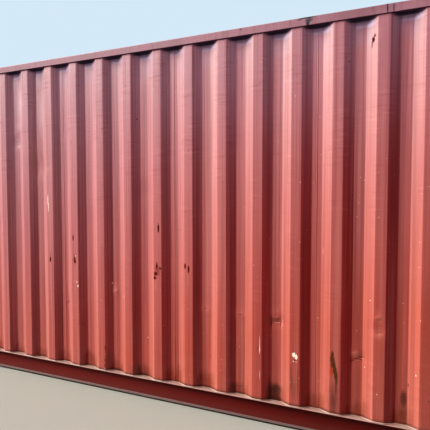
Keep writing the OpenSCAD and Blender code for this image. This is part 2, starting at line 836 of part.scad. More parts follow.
// Ventilator cover that fills one trough of the side wall near an end.
// Its sides slope like the trough's, its top and bottom slope too, and air enters by slots below.
module ventilator() {
  inner = corrugation_pitch - corrugation_face - 2 * corrugation_slope;
  base = corrugation_depth - wall_t;
  side = corrugation_slope * 0.9;
  difference() {
    intersection() {
      linear_extrude(vent_h) polygon([[-inner / 2 + 4, -base], [-inner / 2 - side + 4, -3],
        [inner / 2 + side - 4, -3], [inner / 2 - 4, -base]]);
      along_x(-corrugation_pitch / 2, corrugation_pitch / 2)
        polygon([[-base, 0], [-base, vent_h], [-3, vent_h - vent_slope], [-3, vent_slope / 2]]);
    }
    for (x = [-2:2]) translate([x * vent_slot_pitch - vent_slot_w / 2, -base + 6, -1])
      cube([vent_slot_w, base - 14, vent_slot + 1]);
    for (x = [-4:4]) translate([x * vent_slot_pitch * 0.75 - 1.5, -9, vent_h * 0.3])
      cube([3, 7, vent_h * 0.35]);
  }
}

module ventilators() {
  place = (floor((inner_x - corrugation_pitch / 8) / corrugation_pitch) - 1) * corrugation_pitch;
  for (turn = [0, 180]) color(paint_red) rotate([0, 0, turn])
    translate([place, side_y - wall_inset, top_rail_z - vent_drop - vent_h]) ventilator();
}

bottom_castings();
top_castings();
bottom_side_rails();
cross_members();
tunnel_outriggers();
tunnel_bows();
tunnel_top_plate();
tunnel_side_plates();
front_sill();
tunnel_bridge();
floor_boards_left();
floor_boards_right();
floor_strip();
front_posts();
rear_posts();
rear_post_channels();
top_side_rails();
front_header();
left_wall();
right_wall();
front_wall();
roof_sheets();
roof_end_plates();
door_sill();
door_header();
left_door_frame();
left_door_sheet();
right_door_frame();
right_door_sheet();
door_seals();
hinge_lugs();
hinge_blades();
hinge_pins();
lock_rods();
rod_brackets();
rod_cams();
cam_keepers();
door_handles();
handle_catches();
ventilators();
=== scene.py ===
import math

import bmesh
import bpy
from mathutils import Matrix, Vector


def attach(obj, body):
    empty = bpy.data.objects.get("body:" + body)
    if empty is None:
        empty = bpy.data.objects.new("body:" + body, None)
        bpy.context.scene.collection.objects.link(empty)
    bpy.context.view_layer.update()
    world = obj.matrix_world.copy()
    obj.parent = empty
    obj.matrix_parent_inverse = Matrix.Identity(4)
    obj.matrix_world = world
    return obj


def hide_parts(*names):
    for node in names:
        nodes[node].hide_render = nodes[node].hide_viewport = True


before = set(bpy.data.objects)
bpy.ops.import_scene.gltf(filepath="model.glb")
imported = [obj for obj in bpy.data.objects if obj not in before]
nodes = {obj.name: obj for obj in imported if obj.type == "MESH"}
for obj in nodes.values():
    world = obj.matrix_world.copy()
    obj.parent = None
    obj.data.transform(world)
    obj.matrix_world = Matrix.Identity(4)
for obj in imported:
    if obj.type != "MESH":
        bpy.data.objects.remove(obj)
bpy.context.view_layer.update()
print("frame loaded:", len(nodes), "nodes")

hair = 1e-5  # two places nearer than this, in metres, count as one


def boxOf(name):
    # the lowest and the highest corner of a piece of the frame, to the micrometre
    places = [vert.co for vert in nodes[name].data.vertices]
    return [[round(choose(place[axis] for place in places), 6) for axis in range(3)] for choose in (min, max)]


# small tools for selecting, shaping and copying pieces

def clearSelection():
    if bpy.context.object and bpy.context.object.mode != "OBJECT":
        bpy.ops.object.mode_set(mode="OBJECT")
    bpy.ops.object.select_all(action="DESELECT")


def activate(piece):
    clearSelection()
    piece.select_set(True)
    bpy.context.view_layer.objects.active = piece


def startPiece(name):
    # names the primitive that was just added
    piece = bpy.context.object
    piece.name = name
    piece.data.name = name
    return piece


def startEdit(mode="EDGE"):
    bpy.ops.object.mode_set(mode="EDIT")
    bpy.ops.mesh.select_mode(type=mode)


def pick(test, kind="edges"):
    # selects the vertices, edges or faces of the edited mesh that pass the test
    piece = bpy.context.object
    mesh = bmesh.from_edit_mesh(piece.data)
    for item in [*mesh.faces, *mesh.edges, *mesh.verts]:
        item.select = False
    for item in getattr(mesh, kind):
        if test(item):
            item.select = True
    mesh.select_flush_mode()
    bmesh.update_edit_mesh(piece.data)


def spanOf(edge):
    # how far an edge runs along each axis
    return [abs(one - other) for one, other in zip(edge.verts[0].co, edge.verts[1].co)]


def isUpright(edge):
    return spanOf(edge)[0] < hair and spanOf(edge)[2] > 0.01


def drawAlong(points):
    # extrudes what is selected from point to point: length along the wall, and how far out
    for here, there in zip(points, points[1:]):
        bpy.ops.mesh.extrude_region_move(TRANSFORM_OT_translate={
            "value": (there[0] - here[0], here[1] - there[1], 0)})


def faceOutwards():
    bpy.ops.mesh.select_all(action="SELECT")
    bpy.ops.mesh.normals_make_consistent(inside=False)


def settle(piece):
    # place, turn and size go into the mesh, and the object lies at the origin
    activate(piece)
    bpy.ops.object.transform_apply(location=True, rotation=True, scale=True)


def applyModifier(piece, kind, name, **values):
    activate(piece)
    modifier = piece.modifiers.new(name, kind)
    for key, value in values.items():
        setattr(modifier, key, value)
    bpy.ops.object.modifier_apply(modifier=modifier.name)


def smoothBends(piece, angle):
    activate(piece)
    bpy.ops.object.shade_smooth_by_angle(angle=math.radians(angle))


def copyPiece(piece, name, move=(0, 0, 0), turn=0.0):
    # the copy has a mesh of its own; turn is about the upright axis, in degrees
    twin = piece.copy()
    twin.data = piece.data.copy()
    twin.name = name
    twin.data.name = name
    bpy.context.scene.collection.objects.link(twin)
    twin.matrix_world = Matrix.Translation(Vector(move)) @ Matrix.Rotation(math.radians(turn), 4, "Z")
    settle(twin)
    return twin


def dress(piece, material):
    # a finished piece gets its material and its body
    piece.data.materials.clear()
    piece.data.materials.append(material)
    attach(piece, "root")


# tools for node trees

def feed(tree, socket, value):
    # a socket takes a link from another socket, or a plain value
    if isinstance(value, bpy.types.NodeSocket):
        tree.links.new(value, socket)
    else:
        socket.default_value = value


def wire(tree, kind, inputs, **settings):
    # adds a node, feeds its inputs by name or number, and gives its outputs
    node = tree.nodes.new(kind)
    for key, value in settings.items():
        setattr(node, key, value)
    for key, value in inputs.items():
        feed(tree, node.inputs[key], value)
    return node.outputs


def mathOf(tree, operation, a, b=0.0, clamp=False):
    return wire(tree, "ShaderNodeMath", {0: a, 1: b}, operation=operation, use_clamp=clamp)[0]


def plus(tree, a, b, clamp=False):
    return mathOf(tree, "ADD", a, b, clamp)


def minus(tree, a, b, clamp=False):
    return mathOf(tree, "SUBTRACT", a, b, clamp)


def most(tree, a, b):
    return mathOf(tree, "MAXIMUM", a, b)


def times(tree, product, *factors, clamp=False):
    for factor in factors:
        product = mathOf(tree, "MULTIPLY", product, factor, clamp)
    return product


def vectorOf(tree, operation, a, b=(0, 0, 0)):
    outputs = wire(tree, "ShaderNodeVectorMath", {0: a, 1: b}, operation=operation)
    return outputs["Value" if operation in ("LENGTH", "DOT_PRODUCT") else "Vector"]


def scaled(tree, vector, by):
    return vectorOf(tree, "MULTIPLY", vector, by)


def axesOf(tree, vector):
    return tuple(wire(tree, "ShaderNodeSeparateXYZ", {0: vector}))


def mixColors(tree, factor, a, b):
    return wire(tree, "ShaderNodeMix", {0: factor, 6: a, 7: b}, data_type="RGBA")[2]


def tint(tree, color, mask, share, shade):
    return mixColors(tree, times(tree, mask, share), color, shade)


def remap(tree, value, low, high, toLow=0.0, toHigh=1.0, kind="SMOOTHSTEP"):
    return wire(tree, "ShaderNodeMapRange", {0: value, 1: low, 2: high, 3: toLow, 4: toHigh},
        interpolation_type=kind)[0]


def noiseOf(tree, spot, scale, detail=3.0, roughness=0.5, distortion=0.0):
    # a scale of three numbers stretches the noise
    if not isinstance(scale, float):
        spot, scale = scaled(tree, spot, scale), 1.0
    return wire(tree, "ShaderNodeTexNoise", {"Vector": spot, "Scale": scale, "Detail": detail,
        "Roughness": roughness, "Distortion": distortion})[0]


def bevelOf(tree, radius):
    # a normal that is rounded off at sharp edges
    return wire(tree, "ShaderNodeBevel", {"Radius": radius}, samples=4)[0]


def bumpOf(tree, height, strength, distance, **normal):
    inputs = {"Strength": strength, "Distance": distance, "Height": height, **normal}
    return wire(tree, "ShaderNodeBump", inputs)[0]


def placeOf(tree):
    return wire(tree, "ShaderNodeTexCoord", {})["Object"]


def facingOf(tree):
    return wire(tree, "ShaderNodeNewGeometry", {})["Normal"]


def makeGroup(name, inputs, outputs=("Mask",)):
    # inputs: name -> default value; an output named Color is a colour, and any other is a number
    tree = bpy.data.node_groups.new(name, "ShaderNodeTree")
    for label, value in inputs.items():
        kind = "Float" if isinstance(value, float) else "Color" if len(value) == 4 else "Vector"
        socket = tree.interface.new_socket(label, in_out="INPUT", socket_type="NodeSocket" + kind)
        socket.default_value = value
    for label in outputs:
        kind = "Color" if label == "Color" else "Float"
        tree.interface.new_socket(label, in_out="OUTPUT", socket_type="NodeSocket" + kind)
    return tree, tree.nodes.new("NodeGroupInput").outputs, tree.nodes.new("NodeGroupOutput").inputs


def place(tree, group, **values):
    return wire(tree, "ShaderNodeGroup", values, node_tree=group)


# effects that several materials share

slopeFacing = (0.08, 0.42)  # from which to which turn of a face, of 1, it counts as a slope turned away from the key light, which is painted as shade
fadeAndPaintedLight = {
    # from which to which facing, place along the wall or height, and the values there if not 0 and 1
    "litSlope": (-0.42, -0.08, 1.0, 0.0), "notFront": (-0.85, -0.6), "doors": (0.85, 0.95),
    "front": (-0.85, -0.95, 1.0, 0.7), "roof": (0.5, 0.8, 1.0, 0.62),
    "farSlope": (1.7, -1.9), "slopeDip": (1.2, 1.85, 1.0, 0.84), "slopeRise": (1.85, 4.0, 0.84, 1.0),
    "lighterLeft": (-2.2, 0.4, 1.11, 0.985), "worn": (0.3, 1.9, 1.0, 0.8), "darkeningEnd": (1.9, 4.0, 0.8, 1.0),
    "bleach": (-2.0, 2.0, 0.4, -0.6), "lift": (-0.9, 0.9, 0.0, 0.22), "liftHeight": (1.8, 2.72),
    "crown": (1.185, 1.207, 0.0, 0.06), "crownHeight": (2.6, 2.2), "chalkSlope": (1.7, 2.7),
}


def makeChalkAndPaintedLight():
    # paint that turns paler and bluer with height, in soft uneven patches: chalky paint and a painted sky
    # reflection in one; slopes turned towards the key light are painted lighter, and slopes turned away from
    # it darker and redder, as painted light and shade
    shades = ["Paint", "PaintedShadeSide", "PaintedShadeSideFar", "PaintedLitSide", "ChalkAndSkyReflection", "ChalkPaintedShadeSide", "ChalkPaintedLitSide"]
    inputs = {shade: (0, 0, 0, 1) for shade in shades}
    inputs.update({"Low": 0.3, "High": 2.6, "Unevenness": 0.25, "Lengthwise": 0.2})
    tree, entry, leave = makeGroup("chalkAndPaintedLight", inputs, ["Color"])
    spot = placeOf(tree)
    length, side, height = axesOf(tree, spot)
    across, _, upward = axesOf(tree, facingOf(tree))
    # masks for the painted shade on slopes turned away from the key light and the painted light on slopes
    # turned towards it
    shadedSide = remap(tree, across, *slopeFacing)
    litSide = times(tree, remap(tree, across, *fadeAndPaintedLight["litSlope"]), remap(tree, across, *fadeAndPaintedLight["notFront"]))
    far = remap(tree, length, *fadeAndPaintedLight["farSlope"], kind="LINEAR")
    # the paint is lighter at low x along the wall, and darker from x 0.3 to 4 m, most at 1.9 m
    lighterLeft = remap(tree, length, *fadeAndPaintedLight["lighterLeft"], "LINEAR")
    worn = most(tree, remap(tree, length, *fadeAndPaintedLight["worn"], "LINEAR"), remap(tree, length, *fadeAndPaintedLight["darkeningEnd"]))
    # painted light and shade: the outer faces are painted a little lighter low down, the front wall and the
    # roof darker
    crown = remap(tree, mathOf(tree, "ABSOLUTE", side), *fadeAndPaintedLight["crown"])
    crown = plus(tree, 1.0, times(tree, crown, remap(tree, height, *fadeAndPaintedLight["crownHeight"])))
    crown = times(tree, crown, remap(tree, across, *fadeAndPaintedLight["front"]), remap(tree, upward, *fadeAndPaintedLight["roof"]))
    paint = scaled(tree, entry["Paint"], times(tree, lighterLeft, worn))
    # painted shade: slopes turned from the key light take a darker, redder colour that changes along the
    # wall; painted light: slopes turned towards it take a lighter one; the door end keeps the plain paint
    shadeSideRed = mixColors(tree, far, entry["PaintedShadeSide"], entry["PaintedShadeSideFar"])
    shadeSideRed = scaled(tree, shadeSideRed, most(tree, remap(tree, length, *fadeAndPaintedLight["slopeDip"]),
        remap(tree, length, *fadeAndPaintedLight["slopeRise"])))
    shadeSideRed = mixColors(tree, remap(tree, across, *fadeAndPaintedLight["doors"]), shadeSideRed, paint)
    paint = mixColors(tree, shadedSide, paint, shadeSideRed)
    paint = mixColors(tree, litSide, paint, entry["PaintedLitSide"])
    # high up, the chalk and sky reflection colour is painted paler and bluer on the shaded slopes and darker
    # on the lit ones
    upper = remap(tree, height, *fadeAndPaintedLight["chalkSlope"])
    chalkAndReflection = tint(tree, entry["ChalkAndSkyReflection"], shadedSide, upper, entry["ChalkPaintedShadeSide"])
    chalkAndReflection = tint(tree, chalkAndReflection, litSide, upper, entry["ChalkPaintedLitSide"])
    rise = remap(tree, height, entry["Low"], entry["High"], kind="LINEAR")
    cloud = noiseOf(tree, spot, (0.9, 0.9, 0.5), 4.0, 0.55)
    shift = times(tree, minus(tree, cloud, 0.5), entry["Unevenness"])
    bleach = times(tree, remap(tree, length, *fadeAndPaintedLight["bleach"]), entry["Lengthwise"])
    mask = plus(tree, rise, plus(tree, shift, bleach), clamp=True)
    late = minus(tree, remap(tree, mask, 0.08, 1.02), mask)
    mask = plus(tree, mask, times(tree, late, shadedSide), clamp=True)
    lift = times(tree, remap(tree, height, *fadeAndPaintedLight["liftHeight"]), remap(tree, length, *fadeAndPaintedLight["lift"]))
    mask = plus(tree, mask, times(tree, lift, minus(tree, 1.0, litSide)), clamp=True)
    feed(tree, leave["Color"], scaled(tree, mixColors(tree, mask, paint, chalkAndReflection), crown))
    return tree


def makeStreaks():
    # fine upright lines left by rain and by the rolls that formed the sheet
    tree, entry, leave = makeGroup("rainStreaks", {"Fineness": 60.0, "Run": 0.8, "Threshold": 0.5})
    fineness = entry["Fineness"]
    scale = wire(tree, "ShaderNodeCombineXYZ", {0: fineness, 1: fineness, 2: entry["Run"]})[0]
    lines = noiseOf(tree, placeOf(tree), scale, 3.0, 0.6)
    feed(tree, leave["Mask"], remap(tree, lines, entry["Threshold"], plus(tree, entry["Threshold"], 0.22)))
    return tree


def makeSpecks():
    # small chips and specks that gather in patches
    tree, entry, leave = makeGroup("specks", {"Scale": 40.0, "Size": 0.12, "Share": 0.5})
    spot = placeOf(tree)
    cells = wire(tree, "ShaderNodeTexVoronoi", {"Vector": scaled(tree, spot, (1.0, 1.0, 0.75)),
        "Scale": entry["Scale"]})
    chance, size, _ = wire(tree, "ShaderNodeSeparateColor", {0: cells["Color"]})
    patch = remap(tree, noiseOf(tree, spot, 1.7, 2.0, 0.5), 0.35, 0.7, 0.2, 2.0)
    chosen = mathOf(tree, "LESS_THAN", chance, times(tree, patch, entry["Share"]))
    reach = times(tree, entry["Size"], plus(tree, size, 0.2))
    dot = remap(tree, cells["Distance"], times(tree, reach, 0.6), reach, 1.0, 0.0)
    feed(tree, leave["Mask"], times(tree, dot, chosen))
    return tree


def makeMark():
    # one mark at a place on the surface; Rough is a noise that frays its edge
    tree, entry, leave = makeGroup("mark", {"Place": (0.0, 0.0, 0.0), "Reach": (0.02, 0.2, 0.02),
        "Rough": 0.0, "Ragged": 0.5, "Firm": 0.75})
    away = vectorOf(tree, "DIVIDE", vectorOf(tree, "SUBTRACT", placeOf(tree), entry["Place"]), entry["Reach"])
    fray = times(tree, entry["Rough"], times(tree, entry["Ragged"], 3.0))
    distance = plus(tree, vectorOf(tree, "LENGTH", away), fray)
    feed(tree, leave["Mask"], remap(tree, distance, entry["Firm"], 1.0, 1.0, 0.0))
    return tree


def makeEdgeWear():
    # bare or rusty metal along outer edges
    tree, entry, leave = makeGroup("edgeWear", {"Radius": 0.006, "Amount": 0.5, "Grain": 25.0})
    rounded = bevelOf(tree, entry["Radius"])
    turn = minus(tree, 1.0, vectorOf(tree, "DOT_PRODUCT", rounded, facingOf(tree)))
    patch = noiseOf(tree, placeOf(tree), entry["Grain"], 5.0, 0.7)
    chance = times(tree, remap(tree, turn, 0.02, 0.2), remap(tree, patch, 0.42, 0.58))
    feed(tree, leave["Mask"], times(tree, chance, entry["Amount"]))
    return tree


def makeDust():
    # dust that lies on faces that look up, and a little everywhere low down
    tree, entry, leave = makeGroup("dust", {"Level": 0.6, "Low": 0.0, "Band": 0.25})
    spot = placeOf(tree)
    level = remap(tree, axesOf(tree, facingOf(tree))[2], 0.3, 0.9)
    low = remap(tree, axesOf(tree, spot)[2], 0.02, entry["Band"], 1.0, 0.0)
    patch = remap(tree, noiseOf(tree, spot, 9.0, 6.0, 0.65), 0.3, 0.7, 0.35, 1.0)
    both = most(tree, times(tree, level, entry["Level"]), times(tree, low, entry["Low"]))
    feed(tree, leave["Mask"], times(tree, both, patch, clamp=True))
    return tree


def makeTroughDirtAndPaintedLight():
    # dirt that gathers, painted light and painted shadow in the troughs of the side walls, between two
    # heights
    tree, entry, leave = makeGroup("troughDirtAndPaintedLight", {"From": 0.4, "To": 0.17, "Depth": 1.2, "Uneven": 0.8})
    spot = placeOf(tree)
    _, side, height = axesOf(tree, spot)
    rise = remap(tree, height, entry["From"], entry["To"])
    inward = minus(tree, entry["Depth"], mathOf(tree, "ABSOLUTE", side))
    trough = remap(tree, inward, -0.006, 0.02)
    lines = noiseOf(tree, spot, (26.0, 26.0, 3.0), 5.0, 0.65)
    cloud = noiseOf(tree, spot, 2.6, 4.0, 0.6)
    gather = plus(tree, rise, times(tree, entry["Uneven"], minus(tree, plus(tree, lines, cloud), 1.0)))
    mask = times(tree, remap(tree, gather, 0.35, 1.0), trough, remap(tree, rise, 0.0, 0.15))
    feed(tree, leave["Mask"], mask)
    return tree


def makeRolledLines():
    # broken level lines from the rolls, stronger on the outer faces and high on the wall
    tree, entry, leave = makeGroup("rolledLines", {"Share": 0.15}, ["Dark", "Pale"])
    spot = placeOf(tree)
    _, side, height = axesOf(tree, spot)
    rolled = noiseOf(tree, spot, (5.0, 5.0, 46.0), 3.0, 0.6, 0.6)
    outward = remap(tree, mathOf(tree, "ABSOLUTE", side), 1.18, 1.2, 0.6, 1.9)
    broken = times(tree, remap(tree, noiseOf(tree, spot, 3.3), 0.42, 0.6),
        remap(tree, height, 1.3, 2.4, 0.35, 1.0), outward, entry["Share"])
    feed(tree, leave["Dark"], times(tree, remap(tree, rolled, 0.54, 0.64), broken))
    feed(tree, leave["Pale"], times(tree, remap(tree, rolled, 0.45, 0.36, 0.0, 0.65), broken))
    return tree


def makePressLines():
    # upright shades from the press: ribs on the slopes turned from the key light, rain trails on the inner
    # faces
    tree, entry, leave = makeGroup("pressLines", {"Ribs": 0.34, "Trails": 0.22}, ["Tone"])
    _, side, height = axesOf(tree, placeOf(tree))
    across = axesOf(tree, facingOf(tree))[0]
    inward = remap(tree, mathOf(tree, "ABSOLUTE", side), 1.2, 1.18)
    ribs = place(tree, rainStreaks, Fineness=62.0, Run=0.3, Threshold=0.4)["Mask"]
    ribs = times(tree, minus(tree, 0.45, ribs), times(tree, remap(tree, across, *slopeFacing),
        remap(tree, height, 1.2, 2.3, 1.0, 0.5)))
    trails = place(tree, rainStreaks, Fineness=44.0, Run=0.35, Threshold=0.38)["Mask"]
    trails = times(tree, minus(tree, trails, 0.55), times(tree, inward, remap(tree, across, 0.2, 0.08)))
    tone = plus(tree, times(tree, ribs, entry["Ribs"]), times(tree, trails, entry["Trails"]))
    feed(tree, leave["Tone"], plus(tree, 1.0, tone))
    return tree


chalkAndPaintedLight = makeChalkAndPaintedLight()
rainStreaks = makeStreaks()
specks = makeSpecks()
markGroup = makeMark()
edgeWear = makeEdgeWear()
dustGroup = makeDust()
troughDirtAndPaintedLight = makeTroughDirtAndPaintedLight()
rolledLines = makeRolledLines()
pressLines = makePressLines()
print("shared effects ready")


def newMaterial(name, roughness=0.5, metallic=0.0, specular=0.5):
    # gives the material, its tree and the inputs of its shader
    material = bpy.data.materials.new(name)
    material.use_nodes = True
    finish = material.node_tree.nodes["Principled BSDF"].inputs
    finish["Roughness"].default_value = roughness
    finish["Metallic"].default_value = metallic
    finish["Specular IOR Level"].default_value = specular
    return material, material.node_tree, finish


# what a mark looks like, by its kind: ragged frays its edge, and firm sharpens it
markKinds = {
    "nick": {"color": (0.12, 0.014, 0.003, 1), "ragged": 0.45, "firm": 0.45, "matte": True},
    "rust": {"color": (0.17, 0.03, 0.012, 1), "ragged": 0.5, "firm": 0.3, "matte": True},
    "bare": {"color": (0.85, 0.7, 0.6, 1), "ragged": 0.55, "firm": 0.7},
    "paleRun": {"color": (0.55, 0.26, 0.2, 1), "ragged": 0.7, "firm": 0.1, "long": True},
    "rustRun": {"color": (0.16, 0.05, 0.03, 1), "ragged": 0.8, "firm": 0.1, "long": True, "matte": True},
    "grime": {"color": (0.075, 0.018, 0.011, 1), "ragged": 0.4, "firm": 0.0, "long": True, "matte": True},
    "scrape": {"color": (0.14, 0.05, 0.02, 1), "ragged": 0.4, "firm": 0.5, "long": True, "matte": True},
    "orange": {"color": (0.4, 0.065, 0.018, 1), "ragged": 0.3, "firm": 0.2, "matte": True},
    "tar": {"color": (0.03, 0.035, 0.05, 1), "ragged": 0.35, "firm": 0.3, "matte": True},
    "pale": {"color": (0.5, 0.31, 0.33, 1), "ragged": 0.5, "firm": 0.0, "long": True},
    "shade": {"color": (0.15, 0.04, 0.028, 1), "ragged": 0.3, "firm": 0.0, "long": True, "matte": True},
    "wash": {"color": (0.09, 0.02, 0.013, 1), "ragged": 0.2, "firm": 0.3, "matte": True},
    "haze": {"color": (0.62, 0.27, 0.22, 1), "ragged": 0.6, "firm": 0.0},
}
markPlace = {"wallY": -1.19, "railY": -1.216, "reachY": 0.25}


def markOf(tree, x, y, z, wide, high, **values):
    return place(tree, markGroup, Place=(x, y, z), Reach=(wide, markPlace["reachY"], high), **values)["Mask"]


def addMarks(tree, color, marks, y):
    # each mark: kind, x, z, half width, half height, strength
    spot = placeOf(tree)
    fine = minus(tree, noiseOf(tree, spot, 90.0, 4.0, 0.65), 0.5)
    long = minus(tree, noiseOf(tree, spot, (70.0, 70.0, 6.0), 4.0, 0.65), 0.5)
    outward = mathOf(tree, "LESS_THAN", axesOf(tree, facingOf(tree))[1], 0.0)
    matte = 0.0
    for kind, x, z, wide, high, strength in marks:
        look = markKinds[kind]
        mask = markOf(tree, x, y, z, wide, high, Rough=long if "long" in look else fine,
            Ragged=look["ragged"], Firm=look["firm"])
        weight = times(tree, mask, times(tree, outward, strength))
        color = mixColors(tree, weight, color, look["color"])
        if "matte" in look:
            matte = most(tree, matte, weight)
    return color, matte


wallLook = {
    # Paint is the colour low on the wall, and the chalk colour the one under the roof rail, chalky paint with
    # a painted sky reflection; Low and High are their heights; the colours for slopes turned from and towards
    # the key light are painted shade and painted light
    "fadeAndPaintedLight": {"Paint": (0.42, 0.098, 0.072, 1), "PaintedShadeSide": (0.33, 0.014, 0.011, 1),
        "PaintedShadeSideFar": (0.395, 0.075, 0.068, 1), "PaintedLitSide": (0.42, 0.122, 0.09, 1),
        "ChalkAndSkyReflection": (0.435, 0.208, 0.242, 1), "ChalkPaintedShadeSide": (0.487, 0.27, 0.329, 1),
        "ChalkPaintedLitSide": (0.378, 0.187, 0.218, 1), "Low": 0.3, "High": 2.9, "Unevenness": 0.12,
        "Lengthwise": 0.42},
    # upright lines, the coarse ones last: fineness, run, threshold, share, colour
    "lines": [(11.0, 0.3, 0.48, 0.22, "wash"), (75.0, 0.5, 0.46, 0.3, "lineDark"),
        (32.0, 0.25, 0.47, 0.26, "lineDark")],
    "lineDark": (0.26, 0.05, 0.05, 1), "wash": (0.62, 0.3, 0.28, 1),
    "rolledShare": 0.15, "ribShare": 0.34, "trailShare": 0.22,
    "chips": {"Scale": 20.0, "Size": 0.05, "Share": 0.2},
    "tinyChips": {"Scale": 24.0, "Size": 0.075, "Share": 0.42},
    "rustDots": {"Scale": 11.0, "Size": 0.05, "Share": 0.12},
    "chip": (0.75, 0.6, 0.52, 1), "chipShare": 0.7, "tinyAlong": (-0.6, 1.0, 0.2, 0.62),
    "rustDot": (0.09, 0.02, 0.012, 1), "rustDotShare": 0.85,
    # dirt, painted light and painted shadow in the troughs: from and to which height, how uneven, and how far
    # out it reaches
    "footDirt": {"From": 0.4, "To": 0.165, "Uneven": 1.2},
    # high in the troughs, dirt with a painted pale bluish sky reflection in it
    "grimeAndSkyReflectionBand": {"From": 2.5, "To": 2.78, "Uneven": 1.2},
    # painted light, bluish, that lifts the shadow under the roof rail in the troughs
    "paintedLightBand": {"From": 2.732, "To": 2.8, "Uneven": 0.6, "Depth": 1.2055},
    # painted shadow of the roof rail along the top of the troughs, with some dirt
    "paintedShadowAndDirtBand": {"From": 2.799, "To": 2.819, "Uneven": 0.3, "Depth": 1.2055},
    "footGrime": (0.14, 0.045, 0.022, 1), "footShare": 0.38,
    "grimeAndSkyReflection": (0.33, 0.25, 0.33, 1), "grimeAndSkyReflectionShare": 0.16, "grimeAndSkyReflectionLines": 0.4,
    "paintedLightUnderRail": (0.56, 0.44, 0.6, 1), "paintedLightFacing": (0.05, 0.3, 0.62, 0.12),
    "paintedShadowAndGrime": (0.04, 0.028, 0.07, 1), "topShare": 0.85,
    "dust": (0.38, 0.31, 0.265, 1), "roofDust": (0.19, 0.105, 0.09, 1), "roofDustRise": (2.8, 2.84),
    "footLine": (0.085, 0.038, 0.024, 1), "footLineRise": (0.2, 0.178),
    "footDust": (0.34, 0.228, 0.202, 1), "footDustRise": (0.1785, 0.1755, 0.0, 0.85),
    "smooth": 0.48, "rough": 0.6,
}


def makeWallPaint(name, marks=(), creases=(), troughs=True):
    look = wallLook
    material, tree, finish = newMaterial(name, specular=0.3)
    finish["Coat Roughness"].default_value = 0.5
    spot = placeOf(tree)
    length, _, height = axesOf(tree, spot)
    color = place(tree, chalkAndPaintedLight, **look["fadeAndPaintedLight"])["Color"]
    for fineness, run, threshold, share, shade in look["lines"]:
        lines = place(tree, rainStreaks, Fineness=fineness, Run=run, Threshold=threshold)["Mask"]
        color = tint(tree, color, lines, share, look[shade])
    rolled = place(tree, rolledLines, Share=look["rolledShare"])
    color = mixColors(tree, rolled["Dark"], color, look["lineDark"])
    color = mixColors(tree, rolled["Pale"], color, look["wash"])
    tone = place(tree, pressLines, Ribs=look["ribShare"], Trails=look["trailShare"])["Tone"]
    color = scaled(tree, color, tone)
    chips = times(tree, place(tree, specks, **look["chips"])["Mask"], look["chipShare"])
    tiny = place(tree, specks, **look["tinyChips"])["Mask"]
    tiny = times(tree, tiny, remap(tree, length, *look["tinyAlong"]))
    color = mixColors(tree, most(tree, chips, tiny), color, look["chip"])
    dots = place(tree, specks, **look["rustDots"])["Mask"]
    color = tint(tree, color, dots, look["rustDotShare"], look["rustDot"])
    foot = 0.0
    if troughs:
        foot, grimeAndSkyReflection, paintedLightUnderRail, top = [place(tree, troughDirtAndPaintedLight, **look[dirt])["Mask"]
            for dirt in ("footDirt", "grimeAndSkyReflectionBand", "paintedLightBand", "paintedShadowAndDirtBand")]
        color = tint(tree, color, foot, look["footShare"], look["footGrime"])
        # dirt and painted sky reflection high in the troughs, stronger along the coarsest lines
        grimeAndSkyReflectionShare = plus(tree, look["grimeAndSkyReflectionShare"], times(tree, lines, look["grimeAndSkyReflectionLines"]))
        color = tint(tree, color, grimeAndSkyReflection, grimeAndSkyReflectionShare, look["grimeAndSkyReflection"])
        across = axesOf(tree, facingOf(tree))[0]
        # painted light under the roof rail, weak on the slopes turned from the key light
        color = tint(tree, color, paintedLightUnderRail, remap(tree, across, *look["paintedLightFacing"]), look["paintedLightUnderRail"])
        # painted shadow and dirt right under the roof rail
        color = tint(tree, color, top, look["topShare"], look["paintedShadowAndGrime"])
    color, matte = addMarks(tree, color, marks, markPlace["wallY"]) if marks else (color, 0.0)
    dirt = place(tree, dustGroup, Level=0.8, Low=0.1, Band=0.9)["Mask"]
    dust = mixColors(tree, remap(tree, height, *look["roofDustRise"]), look["dust"], look["roofDust"])
    color = mixColors(tree, dirt, color, dust)
    if troughs:
        # the dark line and the dust where the wall stands on its rail
        patchiness = remap(tree, noiseOf(tree, spot, 24.0, 4.0, 0.6), 0.3, 0.6, 0.2, 0.75)
        color = tint(tree, color, remap(tree, height, *look["footLineRise"]), patchiness, look["footLine"])
        color = mixColors(tree, remap(tree, height, *look["footDustRise"]), color, look["footDust"])
    feed(tree, finish["Base Color"], color)
    gloss = remap(tree, noiseOf(tree, spot, 5.0, 5.0, 0.6), 0.3, 0.7, look["smooth"], look["rough"])
    matte = most(tree, matte, most(tree, dirt, foot))
    feed(tree, finish["Roughness"], most(tree, gloss, matte))
    feed(tree, finish["Coat Weight"], minus(tree, 1.0, matte, clamp=True))
    normal = bumpOf(tree, noiseOf(tree, spot, 260.0, 3.0, 0.6), 0.12, 0.0004)
    if creases:
        fray = minus(tree, noiseOf(tree, spot, 30.0, 3.0, 0.6), 0.5)
        folds = 0.0
        for x, z, wide, high, depth in creases:
            fold = markOf(tree, x, markPlace["wallY"], z, wide, high, Rough=fray, Ragged=0.2, Firm=0.0)
            folds = plus(tree, folds, times(tree, fold, depth))
        normal = bumpOf(tree, folds, 1.0, 0.005, Normal=normal)
    feed(tree, finish["Normal"], normal)
    return material


